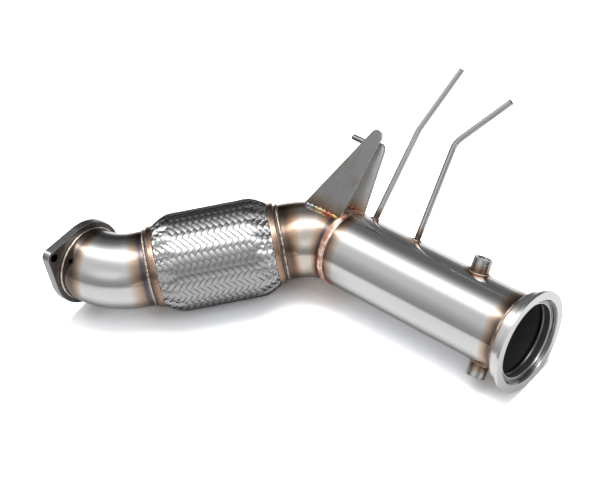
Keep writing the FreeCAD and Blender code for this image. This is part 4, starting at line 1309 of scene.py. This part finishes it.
# %% Bracket plates
SHEET = 3.0
SHEET_EDGE = 0.4
SHEET_LOW = -2.0
TIP_POINTS = 24
FRONT = (45.5, 87.5, 6.8)
REAR = (34.0, 65.0, 6.5)
FRONT_LEAN = 36.0
REAR_LEAN = 52.8
REAR_FOOT_ANGLE = 40.0
REAR_START = MAIN_LENGTH - 3.0
FRONT_START = REAR_START + 4.0
front_frame = moved(-FRONT_START, 0, PIPE) @ turned("X", FRONT_LEAN)
rear_foot = turned("X", REAR_FOOT_ANGLE) @ Vector((0, PIPE, 0))
rear_frame = moved(-REAR_START, rear_foot.y, rear_foot.z) @ turned("X", REAR_LEAN)
# A turn of axes brings the slab's sheet, its y and z, onto the bracket's x and y.
SHEET_AXES = Matrix(((0, 1, 0, 0), (0, 0, 1, 0), (1, 0, 0, 0), (0, 0, 0, 1)))


def tapered_outline(foot, height, tip):
    """A tapered plate with a round tip, from its right foot at the origin."""
    centre = np.array([-tip, height])
    reach = np.array([-foot, 0.0]) - centre
    meet = math.degrees(math.atan2(reach[1], reach[0]) - math.acos(tip / np.linalg.norm(reach)))
    top, top_out = arc_points(centre, tip, 0, meet % 360, TIP_POINTS)
    points = np.concatenate([[(0.0, SHEET_LOW)], top, [(-foot, 0.0), (-foot, SHEET_LOW)]])
    return points, np.concatenate([[(1.0, 0.0)], top_out, top_out[-1:], [(-1.0, 0.0)]])


def bracket_plate(name, size, place, node_name, finish):
    piece = slab(name, [tapered_outline(*size)], SHEET, SHEET_EDGE, place @ moved(0, 0, -SHEET) @ SHEET_AXES)
    return settle(piece, "bracket_sheet", [node_name], finish, sheet_edge_steel)


bracket_plate("front_bracket", FRONT, front_frame, "bracket_front_plate", front_sheet_painted_shade_steel)
bracket_plate("rear_bracket", REAR, rear_frame, "bracket_rear_plate", rear_sheet_painted_light_steel)

# %% [markdown]
# A short round rod is held between the tips of the plates, and a rubber hanger
# slips onto it. Its axis is where the frame's solid has it, so it is measured
# there and not worked out again.

# %% Hanger peg
PEG_RADIUS = 3.0
PEG_LENGTH = 34.0
PEG_MIDDLE = 0.05
peg_low, peg_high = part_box("bracket_peg")
peg_axis = (peg_low + peg_high) / 2 / MILLIMETRE
peg_frame = moved(-FRONT_START, peg_axis.y, peg_axis.z) @ turned("Z", 180)
peg_outline = [(0, PEG_MIDDLE, 0.01), (0, PEG_RADIUS, 0.6), (PEG_LENGTH, PEG_RADIUS, 0.6),
               (PEG_LENGTH, PEG_MIDDLE, 0.01)]
peg_steel = steel("hanger rod", (0.30, 0.30, 0.30), 0.26, 0.04, **ROD_LINES)
peg = turned_piece("hanger_peg", peg_outline, peg_frame, segments=48)
settle(peg, "thin_tube", ["bracket_peg"], peg_steel)
print("bracket peg at", [round(value, 1) for value in peg_axis])

# %% [markdown]
# The bracket's plates are welded along their feet. Each pool of this bead took
# its own colour from the heat: violet, silver, gold and red. The order can be
# seen in the picture, so a ramp along the bead sets it. Noise couldn't.

# %% Stitched weld metal
STITCH_COLOURS = [(0.0, (0.38, 0.27, 0.16)), (0.08, (0.66, 0.46, 0.20)), (0.20, (0.56, 0.20, 0.12)),
                  (0.32, (0.52, 0.16, 0.12)), (0.42, (0.66, 0.52, 0.26)), (0.58, (0.66, 0.55, 0.38)),
                  (0.66, (0.30, 0.22, 0.14)), (0.72, (0.40, 0.46, 0.48)), (0.84, (0.46, 0.52, 0.56)),
                  (0.91, (0.26, 0.10, 0.22)), (1.0, (0.16, 0.07, 0.16))]


def stitched_steel():
    material, tree, shader = new_finish("stitched weld metal")
    sheet = node(tree, "ShaderNodeUVMap", uv_map=UNROLLED).outputs["UV"]
    share = maths(tree, "DIVIDE", parts_of(tree, sheet)["Y"], FRONT[0] * MILLIMETRE)
    tree.links.new(ramp(tree, share, STITCH_COLOURS), shader["Base Color"])
    tree.links.new(mapped(tree, noise(tree, sheet, 600.0, 2.0), 0.0, 1.0, 0.2, 0.42), shader["Roughness"])
    return material


stitch_steel = stitched_steel()
print(stitch_steel.name, "has", len(STITCH_COLOURS), "colours")

# %% [markdown]
# A bead along a line is a row of pools. Each is a short barrel, so its thickness
# follows half a sine, and the bead thins out at its two ends. The front bead
# lies on the top of the pipe. Where the elbow begins the pipe turns away to the
# side, so the surface under a straight line drops, and each point of the line is
# set at the surface's height.

# %% Bracket welds
POOL_LENGTH = 5.4
POOL_STEPS = 7
POOL_BEND = 0.35
POOL_THIN = 0.62
POOL_WAVE = 0.46
LINE_SIDES = 18
END_TAPER = 0.9


def pipe_top(x, y):
    """Height of the pipe's surface above the main tube's axis, at x and y."""
    lead, radius, _, _ = JOINING
    past = np.maximum(-x - MAIN_LENGTH - lead, 0.0)
    offset = np.where(past > 0, radius - np.hypot(past, radius + y), -y)
    return np.sqrt(np.maximum(PIPE ** 2 - offset ** 2, 1.0))


def line_bead(name, start, end, size, node_name, lift=None):
    """A bead of pools from start to end, or lifted above the pipe along that line."""
    start, end = np.array(start), np.array(end)
    length = np.linalg.norm(end - start)
    pools = max(3, round(length / POOL_LENGTH))
    share = np.linspace(0, 1, pools * POOL_STEPS)[:, None]
    spine = start + (end - start) * share
    if lift is not None:
        spine[:, 2] = pipe_top(spine[:, 0], spine[:, 1]) + lift
    section = full_turn(LINE_SIDES)
    saw = (share * pools + POOL_BEND * np.sin(section) ** 2) % 1.0
    ends = np.clip(np.minimum(share, 1 - share) * length / (size * END_TAPER), 0.02, 1.0) ** 0.5
    thick = size * (POOL_THIN + POOL_WAVE * np.sin(saw * math.pi) ** RIPPLE_SHAPE) * ends
    way = unit(end - start)
    side = unit(np.cross(way, [0.0, 0.0, 1.0]))
    up = np.cross(side, way)
    sideways = side * (thick * np.cos(section))[..., None]
    upwards = up * (thick * np.sin(section))[..., None]
    sheet = unrolled(len(share), LINE_SIDES, size)
    run = np.repeat(share * length, LINE_SIDES, axis=1)
    piece = grid_mesh(name, spine[:, None, :] + sideways + upwards, sheet, run, sharp_angle=70, closed=False)
    return settle(piece, "weld_bead", [node_name], stitch_steel)


BEAD_END = 0.5
FRONT_BEAD = 2.9
FRONT_BEAD_LIFT = 0.9
REAR_BEAD = 1.9
REAR_BEAD_SHORTER = 6.0
front_x = (-FRONT_START - BEAD_END, -FRONT_START - FRONT[0] + BEAD_END)
front_line = (-1.0, PIPE)
line_bead("front_foot_bead", (front_x[0], *front_line), (front_x[1], *front_line), FRONT_BEAD,
          "weld_bracket_front", FRONT_BEAD_LIFT)
rear_x = (-REAR_START - BEAD_END, -REAR_START - REAR[0] + REAR_BEAD_SHORTER)
rear_line = (rear_foot.y, rear_foot.z + 0.5)
line_bead("rear_foot_bead", (rear_x[0], *rear_line), (rear_x[1], *rear_line), REAR_BEAD, "weld_bracket_rear")

# %% [markdown]
# The bellows and the liner inside the flex are seen only through the ends. Their
# solids are already right, so they stay and only get a finish, whose dark colours
# are painted shade for the inside of the flex.

# %% Inner pieces of the flex
def thin_inner_steel():
    material, tree, shader = new_finish("thin inner steel in painted shade")
    position = node(tree, "ShaderNodeTexCoord").outputs["Object"]
    patches = noise(tree, position, 120.0, 3.0)
    # The dark greys are painted shade for the inside of the flex.
    colour = ramp(tree, patches, [(0.3, (0.14, 0.13, 0.12)), (0.7, (0.22, 0.21, 0.20))])
    tree.links.new(colour, shader["Base Color"])
    tree.links.new(mapped(tree, patches, 0.0, 1.0, 0.35, 0.55), shader["Roughness"])
    return material


inner_steel = thin_inner_steel()
for inner_name in ("flex_bellows", "flex_liner"):
    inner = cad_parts[inner_name]
    inner.data.materials.clear()
    inner.data.materials.append(inner_steel)
    print(inner_name, len(inner.data.polygons), "faces")

# %% [markdown]
# Polished metal shows the room more than itself. The room here is a photo
# studio: a long softbox over the pipe, a dimmer wall in front, a dark wall
# behind, and a pale floor. It is built into the world as a ramp over the angle
# round the pipe's length, which is cheap and gives clean bands of reflection. On
# the ramp 0 is straight down, 0.25 is behind, 0.5 is overhead and 0.75 in front.

# %% The studio's walls
FLOOR_AND_BACK = [(0.0, 0.40), (0.20, 0.38), (0.245, 0.33), (0.262, 0.20), (0.29, 0.145), (0.33, 0.14)]
OVER_THE_BACK = [(0.36, 0.16), (0.385, 0.155), (0.41, 0.17), (0.43, 0.27), (0.447, 0.42), (0.464, 0.72)]
SOFTBOX = [(0.482, 1.25), (0.505, 1.9), (0.515, 3.0), (0.535, 3.0), (0.545, 1.7), (0.562, 1.2), (0.580, 0.80)]
FRONT_WALL = [(0.60, 0.70), (0.64, 0.66), (0.67, 0.52), (0.70, 0.42), (0.74, 0.33), (0.765, 0.33)]
FLOOR_IN_FRONT = [(0.785, 0.75), (0.90, 0.75), (1.0, 0.45)]
STUDIO = FLOOR_AND_BACK + OVER_THE_BACK + SOFTBOX + FRONT_WALL + FLOOR_IN_FRONT
STUDIO_STRENGTH = 4.0
QUARTER = 0.5 * math.pi
FRONT_LIFT = 0.38
world = bpy.data.worlds.new("studio")
bpy.context.scene.world = world
world.use_nodes = True
sky = world.node_tree
sky_parts = parts_of(sky, node(sky, "ShaderNodeTexCoord").outputs["Generated"])
bearing = maths(sky, "ARCTAN2", sky_parts["Z"], sky_parts["Y"])
# Towards the V-band's end the whole room is turned a little.
front_lift = mapped(sky, sky_parts["X"], 0.45, 0.75, 0.0, FRONT_LIFT, smooth=True)
wrapped = maths(sky, "WRAP", maths(sky, "ADD", bearing, front_lift), 3 * QUARTER, -QUARTER)
ramp_place = maths(sky, "DIVIDE", maths(sky, "ADD", wrapped, QUARTER), 4 * QUARTER)
walls = ramp(sky, ramp_place, [(place, level / STUDIO_STRENGTH) for place, level in STUDIO])
print("the studio has", len(STUDIO), "steps of light")

# %% [markdown]
# Three things in the room aren't the same all along the pipe. A dark side wall
# stands beyond the outlet's end and fades out upwards. A faint soft strip in
# front lights the bends. And the middle of the softbox is brighter than a ramp
# shows: only polished metal sees that, so it is added for glossy rays alone.

# %% Side wall, front strip and glare
SIDE_WALL = 0.35
STRIP_LEVEL = 0.10
SOFTBOX_GLARE = 0.5
to_side = mapped(sky, maths(sky, "MULTIPLY", sky_parts["X"], -1.0), 0.57, 0.72, 0.0, 1.0, smooth=True)
low_down = mapped(sky, sky_parts["Z"], 0.35, 0.60, 1.0, 0.0)
wall_level = mapped(sky, maths(sky, "MULTIPLY", to_side, low_down), 0.0, 1.0, 1.0, SIDE_WALL)
STRIP_SIDES = [(0.0, 0.0), (0.55, 1.0), (0.75, 1.0), (1.0, 0.0)]
STRIP_DEPTH = [(0.58, 0.0), (0.82, 1.0)]
STRIP_HEIGHT = [(0.18, 0.0), (0.42, 1.0), (0.50, 1.0), (0.74, 0.0)]
strip_sides = ramp(sky, maths(sky, "ADD", sky_parts["X"], 0.5), STRIP_SIDES)
strip_depth = ramp(sky, maths(sky, "MULTIPLY", sky_parts["Y"], -1.0), STRIP_DEPTH)
strip_height = ramp(sky, sky_parts["Z"], STRIP_HEIGHT)
strip = vector_maths(sky, "MULTIPLY", strip_sides, strip_depth)["Vector"]
strip = vector_maths(sky, "MULTIPLY", strip, strip_height)["Vector"]
rays = node(sky, "ShaderNodeLightPath").outputs
softbox_middle = ramp(sky, ramp_place, [(0.494, 0.0), (0.502, 1.0), (0.524, 1.0), (0.536, 0.0)])
glare = scaled(sky, softbox_middle, maths(sky, "MULTIPLY", rays["Is Glossy Ray"], SOFTBOX_GLARE))
room = vector_maths(sky, "ADD", scaled(sky, walls, wall_level), glare)["Vector"]
room = vector_maths(sky, "ADD", room, scaled(sky, strip, STRIP_LEVEL))["Vector"]
print("the room takes", len(sky.nodes), "nodes")

# %% [markdown]
# Only the camera sees a plain white background, as in the picture. Matt surfaces
# see the room at half its strength, because the lamp over the pipe lights them
# too. That lamp gives the floor its soft shadow and is hidden from polished
# steel, which would show it as a hard white patch. Its place and size are in
# metres, and so are the floor's.

# %% What each ray sees
WHITE = (1.0, 1.0, 1.0, 1.0)
MATT_SHARE = 0.5
background = sky.nodes["Background"].inputs
shown_inputs = {0: rays["Is Camera Ray"], 2: STUDIO_STRENGTH, 3: 1.0}
strength = node(sky, "ShaderNodeMix", shown_inputs, data_type="FLOAT").outputs[0]
dimming = mapped(sky, rays["Is Diffuse Ray"], 0.0, 1.0, 1.0, MATT_SHARE)
sky.links.new(mixed(sky, rays["Is Camera Ray"], room, WHITE), background["Color"])
sky.links.new(maths(sky, "MULTIPLY", strength, dimming), background["Strength"])


def softbox(name, place, look_at, size, power):
    """A soft lamp that lights the floor but doesn't show in the steel."""
    lamp = bpy.data.lights.new(name, "AREA")
    lamp.shape = "RECTANGLE"
    lamp.size, lamp.size_y = size
    lamp.energy = power
    lamp_object = bpy.data.objects.new(name, lamp)
    bpy.context.scene.collection.objects.link(lamp_object)
    lamp_object.location = place
    lamp_object.rotation_euler = (Vector(look_at) - Vector(place)).to_track_quat("-Z", "Y").to_euler()
    lamp_object.visible_glossy = False
    return lamp_object


LAMP_PLACE = (-0.30, 0.30, 1.5)
LAMP_AIM = (-0.2, -0.05, 0.0)
LAMP_SIZE = (1.1, 0.8)
LAMP_POWER = 21.0
overhead = softbox("overhead_softbox", LAMP_PLACE, LAMP_AIM, LAMP_SIZE, LAMP_POWER)
print(overhead.name, "gives", overhead.data.energy, "W")

# %% [markdown]
# The floor is a wide pale disc. To the camera it is as white as the background,
# so only its shadow shows. In reflections it is a pale grey that darkens away
# from the pipe, as a studio floor does outside the light. The V-band's rim rests
# on it.

# %% Floor
FLOOR_MIDDLE = (-0.2, -0.05, -VBAND_RIM * MILLIMETRE)
FLOOR_RADIUS = 0.9
FLOOR_SIDES = 96
FLOOR_GREYS = [(0.0, 0.76), (0.35, 0.80), (0.62, 0.6), (0.85, 0.35)]
FLOOR_TO_CAMERA = (2.07, 2.1, 2.16, 1.0)
rim = np.zeros((FLOOR_SIDES, 3))
rim[:, 0] = np.cos(full_turn(FLOOR_SIDES)) * FLOOR_RADIUS
rim[:, 1] = np.sin(full_turn(FLOOR_SIDES)) * FLOOR_RADIUS
floor_mesh = bpy.data.meshes.new("floor")
floor_mesh.from_pydata((rim + FLOOR_MIDDLE).tolist(), [], [list(range(FLOOR_SIDES))])
floor = bpy.data.objects.new("studio_floor", floor_mesh)
bpy.context.scene.collection.objects.link(floor)


def floor_paint():
    """A matt finish: white to the camera, and greyer away from the pipe to other rays."""
    material = bpy.data.materials.new("studio floor")
    material.use_nodes = True
    tree = material.node_tree
    tree.nodes.remove(tree.nodes["Principled BSDF"])
    position = node(tree, "ShaderNodeTexCoord").outputs["Object"]
    away = vector_maths(tree, "DISTANCE", position, FLOOR_MIDDLE)["Value"]
    to_camera = node(tree, "ShaderNodeLightPath").outputs["Is Camera Ray"]
    colour = mixed(tree, to_camera, ramp(tree, away, FLOOR_GREYS), FLOOR_TO_CAMERA)
    matt = node(tree, "ShaderNodeBsdfDiffuse", {"Color": colour}).outputs[0]
    tree.links.new(matt, tree.nodes["Material Output"].inputs["Surface"])
    return material


floor_mesh.materials.append(floor_paint())
print("the floor lies at", FLOOR_MIDDLE[2], "m and is", 2 * FLOOR_RADIUS, "m wide")

# %% [markdown]
# The camera stands where the photographer stood. Its place was found by fitting
# the pipe's welds and edges to the picture, and the long lens follows from the
# same fit. It is tilted up from looking straight down, turned about the vertical,
# and rolled a little about its own line of sight.

# %% Camera
CAMERA_PLACE = (504.483, -670.141, 920.381)
CAMERA_BEARING = 49.8605
CAMERA_TILT = 47.2700
CAMERA_ROLL = -10.9980
CAMERA_LENS = 81.96
SENSOR_WIDTH = 36.0
camera_data = bpy.data.cameras.new("camera")
camera_data.sensor_width = SENSOR_WIDTH
camera_data.lens = CAMERA_LENS
camera = bpy.data.objects.new("camera", camera_data)
bpy.context.scene.collection.objects.link(camera)
camera_turn = turned("Z", CAMERA_BEARING) @ turned("X", CAMERA_TILT) @ turned("Z", CAMERA_ROLL)
camera.matrix_world = moved(*[value * MILLIMETRE for value in CAMERA_PLACE]) @ camera_turn
bpy.context.scene.camera = camera
bpy.context.scene.view_settings.view_transform = "Standard"
print("camera at", [round(value, 3) for value in camera.location])
